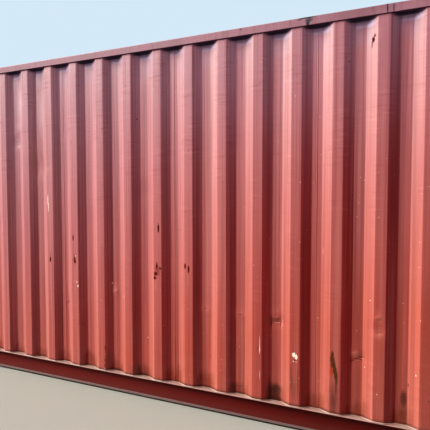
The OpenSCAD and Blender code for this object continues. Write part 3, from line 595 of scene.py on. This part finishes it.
frameLook = {
    "roof": {"paint": (0.39, 0.205, 0.24, 1), "wear": 0.5, "level": 0.85, "low": 0.0},
    "post": {"paint": (0.36, 0.07, 0.055, 1), "wear": 0.6, "level": 0.6, "low": 0.25, "fadeAndPaintedLight": 0.6},
    "base": {"paint": (0.176, 0.0145, 0.0108, 1), "wear": 0.25, "level": 0.95, "low": 0.0},
    "casting": {"paint": (0.2, 0.05, 0.045, 1), "wear": 1.0, "level": 0.6, "low": 0.4},
    "rust": (0.09, 0.03, 0.014, 1), "streak": (0.12, 0.025, 0.022, 1),
    # painted light on the web of the bottom rail below its flange, lifting the shade there, stronger towards
    # low x
    "paintedLightUnderFlange": (0.27, 0.043, 0.036, 1), "paintedLightUnderFlangeRise": (0.15, 0.11, 0.0, 0.6),
    "paintedLightUnderFlangeAlong": (1.2, -0.4, 0.1, 1.0),
    # a lighter, greyer band low on the web, and the pale ledge and lip of the bottom rail, which are dust and
    # painted light on their edges in one: from and to which height, share, colour
    "bands": [(0.09, 0.03, 0.45, (0.17, 0.06, 0.05, 1)), (0.1635, 0.1655, 0.85, (0.33, 0.195, 0.178, 1)),
        (0.019, 0.016, 0.75, (0.165, 0.125, 0.12, 1))],
    "greyDust": (0.18, 0.14, 0.135, 1), "paleDust": (0.33, 0.235, 0.208, 1), "paleRise": (0.07, 0.1),
    "roofDustRise": (2.7, 2.84), "smooth": 0.5, "rough": 0.64,
    "underRail": (1.16, 1.175), "underFacing": (-0.3, -0.7, 0.0, 0.8),
}


def makeFramePaint(name, kind, marks=()):
    look = frameLook[kind]
    material, tree, finish = newMaterial(name)
    spot = placeOf(tree)
    length, side, height = axesOf(tree, spot)
    patch = remap(tree, noiseOf(tree, spot, 2.2, 5.0, 0.6), 0.35, 0.65)
    darker = tuple(channel * 0.8 for channel in look["paint"][:3]) + (1,)
    color = mixColors(tree, patch, darker, look["paint"])
    # the posts take the paler colour high up and the painted shade on faces turned from the key light, with
    # no painted light on the lit ones
    if "fadeAndPaintedLight" in look:
        values = {**wallLook["fadeAndPaintedLight"], "PaintedLitSide": wallLook["fadeAndPaintedLight"]["Paint"], "Unevenness": 0.3,
            "Lengthwise": 0.2}
        color = mixColors(tree, look["fadeAndPaintedLight"], color, place(tree, chalkAndPaintedLight, **values)["Color"])
    lines = place(tree, rainStreaks, Fineness=35.0, Run=1.5, Threshold=0.5)["Mask"]
    color = tint(tree, color, lines, 0.2, frameLook["streak"])
    dots = place(tree, specks, Scale=16.0, Size=0.07, Share=0.12)["Mask"]
    color = tint(tree, color, dots, 0.8, frameLook["rust"])
    worn = place(tree, edgeWear, Radius=0.005, Amount=look["wear"], Grain=22.0)["Mask"]
    color = mixColors(tree, worn, color, frameLook["rust"])
    if marks:
        color = addMarks(tree, color, marks, markPlace["railY"])[0]
    if kind == "base":
        # painted light that lifts the shade on the web under the flange
        paintedLightUnderFlange = remap(tree, height, *frameLook["paintedLightUnderFlangeRise"])
        color = tint(tree, color, paintedLightUnderFlange, remap(tree, length, *frameLook["paintedLightUnderFlangeAlong"]), frameLook["paintedLightUnderFlange"])
        for low, high, share, shade in frameLook["bands"]:
            color = mixColors(tree, remap(tree, height, low, high, 0.0, share), color, shade)
    if kind == "roof":
        # painted shade on the underside of the rail, over the troughs of the wall
        below = remap(tree, axesOf(tree, facingOf(tree))[2], *frameLook["underFacing"])
        outward = remap(tree, mathOf(tree, "ABSOLUTE", side), *frameLook["underRail"])
        color = tint(tree, color, below, outward, wallLook["paintedShadowAndGrime"])
    dirt = place(tree, dustGroup, Level=look["level"], Low=look["low"], Band=0.14)["Mask"]
    dust = mixColors(tree, remap(tree, height, *frameLook["paleRise"]), frameLook["greyDust"],
        frameLook["paleDust"])
    dust = mixColors(tree, remap(tree, height, *frameLook["roofDustRise"]), dust, wallLook["roofDust"])
    feed(tree, finish["Base Color"], mixColors(tree, dirt, color, dust))
    feed(tree, finish["Roughness"], remap(tree, patch, 0.0, 1.0, frameLook["smooth"], frameLook["rough"]))
    grain = noiseOf(tree, spot, 180.0, 4.0, 0.6)
    feed(tree, finish["Normal"], bumpOf(tree, grain, 0.15, 0.0005, Normal=bevelOf(tree, 0.003)))
    return material


zincLook = {"dark": (0.36, 0.37, 0.38, 1), "pale": (0.5, 0.51, 0.52, 1), "rust": (0.13, 0.055, 0.025, 1),
    "crystals": 90.0}


def makeGalvanised():
    material, tree, finish = newMaterial("galvanisedSteel", 0.4, 1.0)
    spot = placeOf(tree)
    cells = wire(tree, "ShaderNodeTexVoronoi", {"Vector": spot, "Scale": zincLook["crystals"]})
    tone = wire(tree, "ShaderNodeSeparateColor", {0: cells["Color"]})[0]
    color = mixColors(tree, tone, zincLook["dark"], zincLook["pale"])
    worn = place(tree, edgeWear, Radius=0.004, Amount=0.8, Grain=30.0)["Mask"]
    rusty = most(tree, worn, remap(tree, noiseOf(tree, spot, 14.0, 6.0, 0.7), 0.56, 0.68))
    feed(tree, finish["Base Color"], mixColors(tree, rusty, color, zincLook["rust"]))
    feed(tree, finish["Metallic"], remap(tree, rusty, 0.0, 1.0, 0.85, 0.0))
    feed(tree, finish["Roughness"], remap(tree, rusty, 0.0, 1.0, 0.52, 0.8))
    feed(tree, finish["Normal"], bevelOf(tree, 0.002))
    return material


rubberLook = {"dark": (0.012, 0.012, 0.013, 1), "pale": (0.04, 0.037, 0.035, 1), "dust": (0.2, 0.17, 0.14, 1)}


def makeRubber():
    material, tree, finish = newMaterial("sealRubber", roughness=0.75, specular=0.3)
    spot = placeOf(tree)
    patch = remap(tree, noiseOf(tree, spot, 12.0, 5.0, 0.6), 0.3, 0.7)
    color = mixColors(tree, patch, rubberLook["dark"], rubberLook["pale"])
    dirt = place(tree, dustGroup, Level=0.4, Low=0.3, Band=0.5)["Mask"]
    feed(tree, finish["Base Color"], mixColors(tree, dirt, color, rubberLook["dust"]))
    feed(tree, finish["Normal"], bumpOf(tree, noiseOf(tree, spot, 300.0, 2.0, 0.5), 0.2, 0.0003))
    return material


plywoodLook = {"dark": (0.14, 0.07, 0.035, 1), "pale": (0.34, 0.19, 0.1, 1), "worn": (0.09, 0.075, 0.065, 1),
    "grain": (1.2, 60.0, 60.0)}


def makePlywood():
    material, tree, finish = newMaterial("floorPlywood", roughness=0.62, specular=0.4)
    spot = placeOf(tree)
    grain = noiseOf(tree, spot, plywoodLook["grain"], 6.0, 0.65)
    color = mixColors(tree, remap(tree, grain, 0.3, 0.7), plywoodLook["dark"], plywoodLook["pale"])
    worn = remap(tree, noiseOf(tree, spot, 3.0, 6.0, 0.65), 0.45, 0.7)
    feed(tree, finish["Base Color"], tint(tree, color, worn, 0.5, plywoodLook["worn"]))
    feed(tree, finish["Normal"], bumpOf(tree, grain, 0.3, 0.0006))
    return material


# the photographed wall, made of ten pressed sheets, and its opposite; its box comes from the frame

wallLow, wallHigh = boxOf("left_wall")
wall = {
    "pitch": 0.278, "outer": 0.072, "slope": 0.068, "rise": 0.034, "sheet": 0.002,
    "faceY": wallLow[1], "bottom": wallLow[2], "top": wallHigh[2], "reach": wallHigh[0], "weldGap": 0.0005,
    "sheets": 10, "perSheet": 4, "bendOffset": 0.0035, "bendSteps": 3, "flatLeast": 0.02, "smoothAngle": 35,
    "wave": 0.004, "waveLength": 0.55, "plainRows": 36, "plainCuts": 1, "nearRows": 110, "nearCuts": 3,
}

# marks on the sheets that the photograph shows from near by: kind, x, z, half width, half height, strength
nearMarks = {
    3: [("bare", -1.2665, 1.575, 0.005, 0.05, 0.8), ("bare", -1.272, 1.64, 0.0055, 0.05, 0.85),
        ("paleRun", -1.266, 1.46, 0.006, 0.12, 0.35), ("nick", -1.254, 1.104, 0.0105, 0.034, 1.0),
        ("rust", -1.252, 1.15, 0.006, 0.05, 0.5), ("rust", -1.63, 2.18, 0.006, 0.05, 0.25),
        ("haze", -1.45, 1.95, 0.08, 0.4, 0.25), ("pale", -1.62, 2.52, 0.09, 0.22, 0.6),
        ("pale", -1.37, 2.42, 0.07, 0.3, 0.5), ("pale", -1.66, 2.2, 0.05, 0.06, 0.5)],
    4: [("nick", -0.99, 1.305, 0.009, 0.034, 0.9), ("nick", -0.973, 1.098, 0.013, 0.026, 1.0),
        ("nick", -0.978, 1.122, 0.008, 0.03, 0.9), ("rust", -0.978, 1.12, 0.02, 0.06, 0.45),
        ("bare", -0.954, 0.917, 0.006, 0.011, 0.75), ("bare", -0.943, 0.882, 0.008, 0.013, 0.8),
        ("bare", -0.966, 1.147, 0.006, 0.01, 0.6), ("bare", -0.599, 0.93, 0.005, 0.009, 0.55),
        ("bare", -0.252, 0.501, 0.006, 0.009, 0.5), ("nick", -0.129, 1.419, 0.0105, 0.045, 1.0),
        ("nick", -0.145, 1.108, 0.0105, 0.034, 1.0), ("nick", -0.156, 1.046, 0.019, 0.02, 1.0),
        ("nick", -0.163, 1.012, 0.016, 0.016, 1.0), ("nick", -0.115, 1.091, 0.0135, 0.014, 0.9),
        ("rust", -0.14, 1.07, 0.036, 0.06, 0.4), ("paleRun", -0.158, 0.95, 0.009, 0.06, 0.3),
        ("nick", -0.336, 2.302, 0.009, 0.007, 0.7), ("rust", -0.999, 2.146, 0.007, 0.01, 0.5),
        ("nick", -0.667, 2.238, 0.006, 0.014, 0.5), ("nick", -0.661, 0.37, 0.0045, 0.03, 0.8),
        ("nick", -0.663, 0.262, 0.006, 0.011, 0.9), ("nick", -0.665, 0.215, 0.007, 0.014, 0.8),
        ("bare", -0.667, 0.185, 0.008, 0.006, 0.6), ("shade", -0.63, 0.23, 0.07, 0.17, 0.35),
        ("grime", -0.57, 0.183, 0.07, 0.018, 0.95), ("haze", -0.566, 0.872, 0.03, 0.06, 0.35),
        ("haze", -0.466, 0.827, 0.03, 0.02, 0.3), ("shade", -0.33, 0.205, 0.12, 0.09, 0.5),
        ("grime", -0.31, 0.182, 0.085, 0.022, 0.8)],
    5: [("nick", 0.109, 1.124, 0.0105, 0.029, 1.0), ("nick", 0.14, 1.1, 0.0095, 0.04, 1.0),
        ("paleRun", 0.137, 0.99, 0.01, 0.09, 0.4), ("rust", 0.06, 1.405, 0.006, 0.006, 0.7),
        ("nick", 0.142, 2.023, 0.006, 0.008, 0.6), ("rust", 0.837, 1.972, 0.006, 0.007, 0.6),
        ("haze", 0.975, 0.525, 0.035, 0.045, 0.4), ("rust", 0.974, 0.507, 0.022, 0.012, 0.6),
        ("bare", 0.968, 0.546, 0.015, 0.017, 1.0), ("bare", 0.984, 0.531, 0.011, 0.02, 1.0),
        ("haze", 0.977, 0.529, 0.006, 0.008, 1.0), ("bare", 0.965, 0.499, 0.007, 0.006, 0.6),
        ("bare", 0.985, 0.496, 0.007, 0.005, 0.55), ("rustRun", 0.948, 0.36, 0.009, 0.17, 0.55),
        ("rustRun", 0.998, 0.35, 0.007, 0.17, 0.5), ("rustRun", 0.972, 0.3, 0.03, 0.14, 0.3),
        ("bare", 0.7165, 0.55, 0.0032, 0.035, 1.0), ("bare", 0.716, 0.61, 0.0028, 0.05, 0.5),
        ("bare", 0.7175, 0.36, 0.003, 0.035, 0.45), ("rust", 0.702, 0.555, 0.005, 0.025, 0.5),
        ("grime", 0.507, 0.222, 0.018, 0.06, 0.75), ("shade", 0.5, 0.205, 0.05, 0.07, 0.6),
        ("grime", 0.545, 0.236, 0.045, 0.008, 0.6), ("wash", 0.82, 0.222, 0.062, 0.1, 0.8),
        ("wash", 0.838, 0.262, 0.046, 0.05, 0.7), ("grime", 0.784, 0.255, 0.016, 0.13, 0.7),
        ("wash", 0.815, 0.19, 0.08, 0.03, 0.9), ("rust", 0.315, 0.43, 0.006, 0.008, 0.7),
        ("grime", 0.21, 0.225, 0.012, 0.05, 0.5)],
    6: [("shade", 1.258, 0.36, 0.016, 0.12, 0.8), ("shade", 1.244, 0.27, 0.05, 0.21, 0.8),
        ("orange", 1.227, 0.468, 0.018, 0.05, 0.85), ("scrape", 1.234, 0.582, 0.013, 0.038, 1.0),
        ("scrape", 1.232, 0.55, 0.021, 0.044, 1.0), ("scrape", 1.237, 0.514, 0.022, 0.038, 1.0),
        ("scrape", 1.247, 0.48, 0.019, 0.036, 1.0), ("scrape", 1.2565, 0.446, 0.0155, 0.038, 1.0),
        ("scrape", 1.262, 0.41, 0.0085, 0.042, 0.9), ("nick", 1.465, 2.68, 0.011, 0.024, 1.0),
        ("nick", 1.474, 2.703, 0.008, 0.016, 0.8), ("nick", 1.457, 2.65, 0.005, 0.03, 0.7),
        ("haze", 1.521, 0.759, 0.05, 0.05, 0.3), ("haze", 1.526, 0.879, 0.04, 0.07, 0.2),
        # along the fold near x 1.36 to 1.42, a darker line and spot, and a pale patch above it
        ("haze", 1.38, 0.6, 0.05, 0.03, 0.35), ("shade", 1.41, 0.566, 0.03, 0.008, 0.8),
        ("grime", 1.362, 0.547, 0.012, 0.006, 0.7), ("wash", 1.682, 0.345, 0.028, 0.08, 0.75),
        ("shade", 1.675, 0.25, 0.045, 0.12, 0.5), ("nick", 1.708, 0.445, 0.005, 0.016, 0.6),
        ("nick", 1.319, 2.559, 0.006, 0.008, 0.5), ("bare", 1.129, 0.819, 0.004, 0.004, 0.7),
        ("bare", 1.47, 0.98, 0.0035, 0.0045, 0.7), ("bare", 1.44, 0.52, 0.004, 0.004, 0.6),
        ("bare", 1.52, 0.36, 0.005, 0.005, 0.7), ("bare", 1.75, 0.52, 0.004, 0.008, 0.8),
        ("haze", 1.16, 1.29, 0.012, 0.04, 0.35)],
}
# soft dents in them: x, z, push, reach, and the x and z where a long one ends
nearDents = {
    3: [(-1.66, 2.18, 0.006, 0.07), (-1.62, 2.3, -0.004, 0.09), (-1.38, 1.95, 0.005, 0.16),
        (-1.94, 1.4, 0.005, 0.12)],
    4: [(-1.055, 0.735, 0.003, 0.04), (-0.57, 0.86, -0.004, 0.06), (-0.27, 1.7, 0.003, 0.14),
        (-0.56, 0.24, 0.005, 0.05)],
    5: [(0.25, 0.79, -0.004, 0.05, 0.31, 0.79), (0.53, 0.785, -0.004, 0.05, 0.58, 0.785),
        (0.81, 0.76, 0.007, 0.045, 0.87, 0.765), (0.84, 0.82, -0.004, 0.06), (0.83, 0.25, 0.006, 0.07)],
    6: [(1.36, 0.545, 0.0045, 0.045, 1.43, 0.585), (1.39, 0.62, -0.003, 0.06), (1.52, 0.8, 0.004, 0.08)],
}
# sharp folds: x, z, half width, half height, depth
nearCreases = {
    3: [(-1.67, 2.19, 0.03, 0.02, 0.35), (-1.64, 2.15, 0.04, 0.02, -0.3), (-1.38, 2.21, 0.05, 0.02, 0.2)],
    4: [(-1.085, 0.735, 0.04, 0.015, 0.4), (-1.075, 0.71, 0.045, 0.012, -0.5),
        (-0.46, 0.83, 0.02, 0.012, 0.4), (-0.57, 0.86, 0.03, 0.02, 0.5)],
    5: [(0.835, 0.785, 0.045, 0.02, 0.9), (0.84, 0.757, 0.045, 0.008, -1.0),
        (0.868, 0.745, 0.008, 0.03, -0.8), (0.8, 0.735, 0.008, 0.04, -0.5), (0.55, 0.79, 0.035, 0.012, 0.5),
        (0.27, 0.79, 0.03, 0.012, -0.5)],
    6: [(1.39, 0.605, 0.035, 0.03, 0.6), (1.362, 0.55, 0.02, 0.01, -1.0), (1.388, 0.562, 0.025, 0.009, -1.0),
        (1.42, 0.578, 0.022, 0.009, -0.9), (1.52, 0.87, 0.03, 0.02, 0.5), (1.53, 0.77, 0.03, 0.02, -0.4)],
}


def sheetRun(index):
    # first corrugation, number of corrugations, and where the sheet starts and ends; the wall has as many
    # whole corrugations as leave a little flat at both ends, and the outermost sheets take up the odd ones
    pitch, reach = wall["pitch"], wall["reach"]
    total = 2 * int((reach - pitch / 8) / pitch)
    spare = (total - wall["sheets"] * wall["perSheet"]) // 2
    last = index == wall["sheets"] - 1
    before = index * wall["perSheet"] + spare if index else 0
    after = total if last else (index + 1) * wall["perSheet"] + spare
    first = (before - total / 2) * pitch
    start = first + wall["weldGap"] / 2 if index else -reach
    end = reach if last else (after - total / 2) * pitch - wall["weldGap"] / 2
    return first, after - before, start, end


def sheetPoints(index):
    # the bends of a sheet: length along the wall, and how far out of the troughs
    first, count, start, end = sheetRun(index)
    inner = wall["pitch"] - wall["outer"] - 2 * wall["slope"]
    points = [(start, 0.0)]
    for i in range(count):
        x = first + i * wall["pitch"]
        crest = x + inner / 2 + wall["slope"]
        points += [(x + inner / 2, 0.0), (crest, wall["rise"]), (crest + wall["outer"], wall["rise"]),
            (x + wall["pitch"] - inner / 2, 0.0)]
    return points + [(end, 0.0)]


def pressSheet(name, index, rows, flatCuts):
    # one wall sheet: a flat strip is drawn on bend by bend, then its bends are rounded
    points = sheetPoints(index)
    deepY = wall["faceY"] + wall["rise"]
    height = wall["top"] - wall["bottom"]
    clearSelection()
    bpy.ops.mesh.primitive_plane_add(size=1, rotation=(math.pi / 2, 0, 0),
        location=((points[0][0] + points[1][0]) / 2, deepY, wall["bottom"] + height / 2))
    piece = startPiece(name)
    piece.scale = (points[1][0] - points[0][0], height, 1)
    settle(piece)
    startEdit()
    pick(lambda edge: all(vert.co.x > points[1][0] - hair for vert in edge.verts))
    drawAlong(points[1:])
    pick(lambda edge: isUpright(edge) and not edge.is_boundary)
    bpy.ops.mesh.bevel(offset=wall["bendOffset"], segments=wall["bendSteps"], affect="EDGES")
    pick(lambda edge: spanOf(edge)[2] < hair and edge.calc_length() > wall["flatLeast"])
    bpy.ops.mesh.subdivide(number_cuts=flatCuts)
    pick(isUpright)
    bpy.ops.mesh.subdivide(number_cuts=rows)
    faceOutwards()
    if sum(face.normal.y for face in bmesh.from_edit_mesh(piece.data).faces) > 0:
        bpy.ops.mesh.flip_normals()
    bpy.ops.object.mode_set(mode="OBJECT")
    return piece


def dentSheet(piece, dents):
    # dents are soft groups of points, which a displacement pushes in or out
    for name, sign in (("pushedIn", 1), ("pushedOut", -1)):
        chosen = [dent for dent in dents if dent[2] * sign > 0]
        if not chosen:
            continue
        deepest = max(abs(dent[2]) for dent in chosen)
        group = piece.vertex_groups.new(name=name)
        for vert in piece.data.vertices:
            spot = Vector((vert.co.x, vert.co.z))
            weight = 0.0
            for x, z, push, reach, *end in chosen:
                near = Vector((x, z))
                along = Vector(end or (x, z)) - near
                share = (spot - near).dot(along) / along.length_squared if end else 0.0
                away = (near + along * min(max(share, 0.0), 1.0) - spot).length / reach
                if away < 1.0:
                    weight += (1 - away * away * (3 - 2 * away)) * abs(push) / deepest
            if weight > 0.0:
                group.add([vert.index], min(weight, 1.0), "REPLACE")
        applyModifier(piece, "DISPLACE", name, vertex_group=name, direction="Y", strength=sign * deepest,
            mid_level=0.0)
        piece.vertex_groups.remove(piece.vertex_groups[name])


def cloudTexture(name, size, depth):
    texture = bpy.data.textures.new(name, "CLOUDS")
    texture.noise_scale = size
    texture.noise_depth = depth
    return texture


def ripple(piece, name, texture, strength, **values):
    applyModifier(piece, "DISPLACE", name, texture=texture, strength=strength, mid_level=0.5,
        texture_coords="GLOBAL", **values)


def finishSheet(piece):
    ripple(piece, "waves", waves, wall["wave"], direction="Y")
    applyModifier(piece, "SOLIDIFY", "thickness", thickness=wall["sheet"], offset=-1.0, use_even_offset=True)
    smoothBends(piece, wall["smoothAngle"])


waves = cloudTexture("sheetWaves", wall["waveLength"], 2)
wallPaint = makeWallPaint("wallPaint")
leftSheets = []
for index in range(wall["sheets"]):
    name = "leftSheet%d" % (index + 1)
    sheet = pressSheet(name, index, wall["plainRows"], wall["plainCuts"])
    finishSheet(sheet)
    opposite = copyPiece(sheet, "rightSheet%d" % (wall["sheets"] - index), turn=180)
    dress(opposite, wallPaint)
    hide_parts("right_wall")
    paint = wallPaint
    if index in nearMarks:
        # pressed once more, fine enough for the dents
        bpy.data.objects.remove(sheet)
        sheet = pressSheet(name, index, wall["nearRows"], wall["nearCuts"])
        dentSheet(sheet, nearDents[index])
        finishSheet(sheet)
        paint = makeWallPaint("wallPaintSheet%d" % (index + 1), nearMarks[index], nearCreases[index])
    dress(sheet, paint)
    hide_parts("left_wall")
    leftSheets.append(sheet)
print("side walls pressed:", sum(len(sheet.data.polygons) for sheet in leftSheets), "faces on the left")

# weld beads where the sheets meet each other and where they stand on the bottom rail

seamBead = {"width": 0.008, "proud": 0.0012, "round": 0.0025, "cuts": 90, "ripple": 0.0011}
footBead = {"size": 0.006, "into": 0.001, "round": 0.0045, "cuts": 4, "slopeLeast": 0.03, "ripple": 0.0014}
beadSurface = {"rippleLength": 0.014, "smoothAngle": 50}
beadRipple = cloudTexture("beadRipple", beadSurface["rippleLength"], 1)


def rippleBead(piece, strength):
    # a bead follows the waves of its sheet and has a ripple of its own
    ripple(piece, "waves", waves, wall["wave"], direction="Y")
    ripple(piece, "ripple", beadRipple, strength)
    smoothBends(piece, beadSurface["smoothAngle"])


def drawSeamBead():
    # an upright bead, made at the middle of the wall and copied to each seam
    height = wall["top"] - wall["bottom"]
    deepY = wall["faceY"] + wall["rise"]
    clearSelection()
    bpy.ops.mesh.primitive_cube_add(size=1, location=(0, deepY, wall["bottom"] + height / 2))
    piece = startPiece("seamBead")
    piece.scale = (seamBead["width"], 2 * seamBead["proud"], height)
    settle(piece)
    startEdit()
    pick(lambda edge: isUpright(edge) and edge.verts[0].co.y < deepY)
    bpy.ops.mesh.bevel(offset=seamBead["round"], segments=2, affect="EDGES")
    pick(isUpright)
    bpy.ops.mesh.subdivide(number_cuts=seamBead["cuts"])
    bpy.ops.object.mode_set(mode="OBJECT")
    return piece


def drawFootBead():
    # a bead with a rounded shoulder is drawn along the foot of the corrugations
    points = []
    for index in range(wall["sheets"]):
        points += sheetPoints(index)[1 if index else 0:-1]
    points.append((wall["reach"], 0.0))
    size = footBead["size"]
    middleY = wall["faceY"] + wall["rise"] - size / 2
    middleZ = wall["bottom"] + size / 2
    clearSelection()
    bpy.ops.mesh.primitive_plane_add(size=size, rotation=(0, math.pi / 2, 0),
        location=(points[0][0], middleY + footBead["into"], middleZ))
    piece = startPiece("leftFootBead")
    settle(piece)
    startEdit("VERT")
    pick(lambda vert: vert.co.y < middleY and vert.co.z > middleZ, "verts")
    bpy.ops.mesh.bevel(offset=footBead["round"], segments=3, affect="VERTICES")
    bpy.ops.mesh.select_mode(type="FACE")
    bpy.ops.mesh.select_all(action="SELECT")
    drawAlong(points)
    bpy.ops.mesh.select_mode(type="EDGE")
    pick(lambda edge: spanOf(edge)[0] > footBead["slopeLeast"])
    bpy.ops.mesh.subdivide(number_cuts=footBead["cuts"])
    faceOutwards()
    bpy.ops.object.mode_set(mode="OBJECT")
    return piece


firstBead = drawSeamBead()
for number in range(1, wall["sheets"]):
    bead = copyPiece(firstBead, "leftSeamBead%d" % number, move=(sheetRun(number)[0], 0, 0))
    rippleBead(bead, seamBead["ripple"])
    opposite = copyPiece(bead, "rightSeamBead%d" % (wall["sheets"] - number), turn=180)
    for piece in (bead, opposite):
        dress(piece, wallPaint)
bpy.data.objects.remove(firstBead)
leftFoot = drawFootBead()
rippleBead(leftFoot, footBead["ripple"])
dress(leftFoot, wallPaint)
dress(copyPiece(leftFoot, "rightFootBead", turn=180), wallPaint)
print("weld beads drawn")

# finishes of the pieces that come from the solid model

railMarks = [("tar", 1.04, 2.88, 0.08, 0.009, 0.9), ("tar", 1.055, 2.862, 0.034, 0.02, 0.75),
    ("tar", 1.047, 2.84, 0.017, 0.028, 0.95), ("tar", 1.15, 2.886, 0.06, 0.005, 0.8),
    ("tar", 0.99, 2.872, 0.025, 0.006, 0.6), ("tar", 0.569, 2.874, 0.012, 0.008, 0.7),
    ("tar", 1.547, 2.857, 0.0065, 0.05, 0.9), ("tar", 1.583, 2.853, 0.005, 0.05, 0.8),
    ("tar", 1.543, 2.882, 0.012, 0.006, 0.6), ("rust", 1.46, 2.866, 0.004, 0.03, 0.5)]
finishes = [
    (makeWallPaint("endPaint", troughs=False), ["front_wall", "roof_sheets", "roof_end_plates",
        "left_door_sheet", "right_door_sheet", "ventilators"]),
    (makeFramePaint("roofFramePaint", "roof", railMarks), ["top_side_rails", "front_header"]),
    (makeFramePaint("postPaint", "post"), ["front_posts", "rear_posts", "rear_post_channels", "door_header",
        "left_door_frame", "right_door_frame", "hinge_lugs", "hinge_blades"]),
    (makeFramePaint("basePaint", "base"), ["bottom_side_rails", "cross_members", "tunnel_outriggers",
        "tunnel_bows", "tunnel_top_plate", "tunnel_side_plates", "front_sill", "tunnel_bridge", "door_sill"]),
    (makeFramePaint("castingPaint", "casting"), ["bottom_castings", "top_castings"]),
    (makeGalvanised(), ["floor_strip", "hinge_pins", "lock_rods", "rod_brackets", "rod_cams", "cam_keepers",
        "door_handles", "handle_catches"]),
    (makeRubber(), ["door_seals"]),
    (makePlywood(), ["floor_boards_left", "floor_boards_right"]),
]
for material, names in finishes:
    for name in names:
        nodes[name].data.materials.clear()
        nodes[name].data.materials.append(material)
print("finishes assigned")

# floor, light and camera

studio = {
    "floor": (0.30, 0.278, 0.256, 1), "floorSize": 160.0,
    "bright": (0.43, 0.50, 0.575, 1), "dim": (0.10, 0.055, 0.10, 1), "brightTo": (-0.85, 0.35, 0.4),
    "dimEnd": -0.3, "brightEnd": 0.85, "skyStrength": 1.0, "backdrop": (0.433, 0.503, 0.56, 1),
    "keyTurn": -62.0, "keyHeight": 42.0, "keyStrength": 4.5, "keyTint": (1.0, 1.06, 0.99),
    "fillTo": (0.8, 0.62, 0.42), "fillStrength": 1.5, "fillTint": (0.97, 0.99, 1.0), "softness": 40.0,
}
# where the photograph was taken from, in metres and degrees; sensor and lens in millimetres
view = {"sensor": 36.0, "lens": 34.821, "place": (1.5613, -4.1102, 1.6579), "down": 2.349, "turn": 22.44}

clearSelection()
bpy.ops.mesh.primitive_plane_add(size=studio["floorSize"], location=(0, 0, 0))
floor = startPiece("studioFloor")
floorPaint, _, floorFinish = newMaterial("studioFloorPaint", roughness=0.85, specular=0.2)
floorFinish["Base Color"].default_value = studio["floor"]
floor.data.materials.append(floorPaint)

world = bpy.data.worlds.new("studioSky")
bpy.context.scene.world = world
world.use_nodes = True
skyTree = world.node_tree
sky = skyTree.nodes["Background"].inputs
toward = wire(skyTree, "ShaderNodeTexCoord", {})["Generated"]
glow = vectorOf(skyTree, "DOT_PRODUCT", toward, Vector(studio["brightTo"]).normalized())
skyMask = remap(skyTree, glow, studio["dimEnd"], studio["brightEnd"])
softLight = mixColors(skyTree, skyMask, studio["dim"], studio["bright"])
# the camera sees a plain backdrop
seen = wire(skyTree, "ShaderNodeLightPath", {})["Is Camera Ray"]
feed(skyTree, sky["Color"], mixColors(skyTree, seen, softLight, studio["backdrop"]))
sky["Strength"].default_value = studio["skyStrength"]


def addSun(name, toLight, strength, color):
    sunData = bpy.data.lights.new(name, "SUN")
    sunData.color = color
    sunData.energy = strength
    sunData.angle = math.radians(studio["softness"])
    sun = bpy.data.objects.new(name, sunData)
    bpy.context.scene.collection.objects.link(sun)
    sun.rotation_euler = Vector(toLight).to_track_quat("Z", "Y").to_euler()


turn = math.radians(studio["keyTurn"])
rise = math.radians(studio["keyHeight"])
addSun("keyLight", (math.sin(turn) * math.cos(rise), -math.cos(turn) * math.cos(rise), math.sin(rise)),
    studio["keyStrength"], studio["keyTint"])
addSun("fillLight", studio["fillTo"], studio["fillStrength"], studio["fillTint"])

cameraData = bpy.data.cameras.new("photoCamera")
cameraData.sensor_width = view["sensor"]
cameraData.lens = view["lens"]
camera = bpy.data.objects.new("photoCamera", cameraData)
bpy.context.scene.collection.objects.link(camera)
camera.location = view["place"]
camera.rotation_euler = (math.radians(90 - view["down"]), 0, math.radians(view["turn"]))
bpy.context.scene.camera = camera
bpy.context.scene.view_settings.view_transform = "Standard"
bpy.context.scene.view_settings.look = "Very High Contrast"
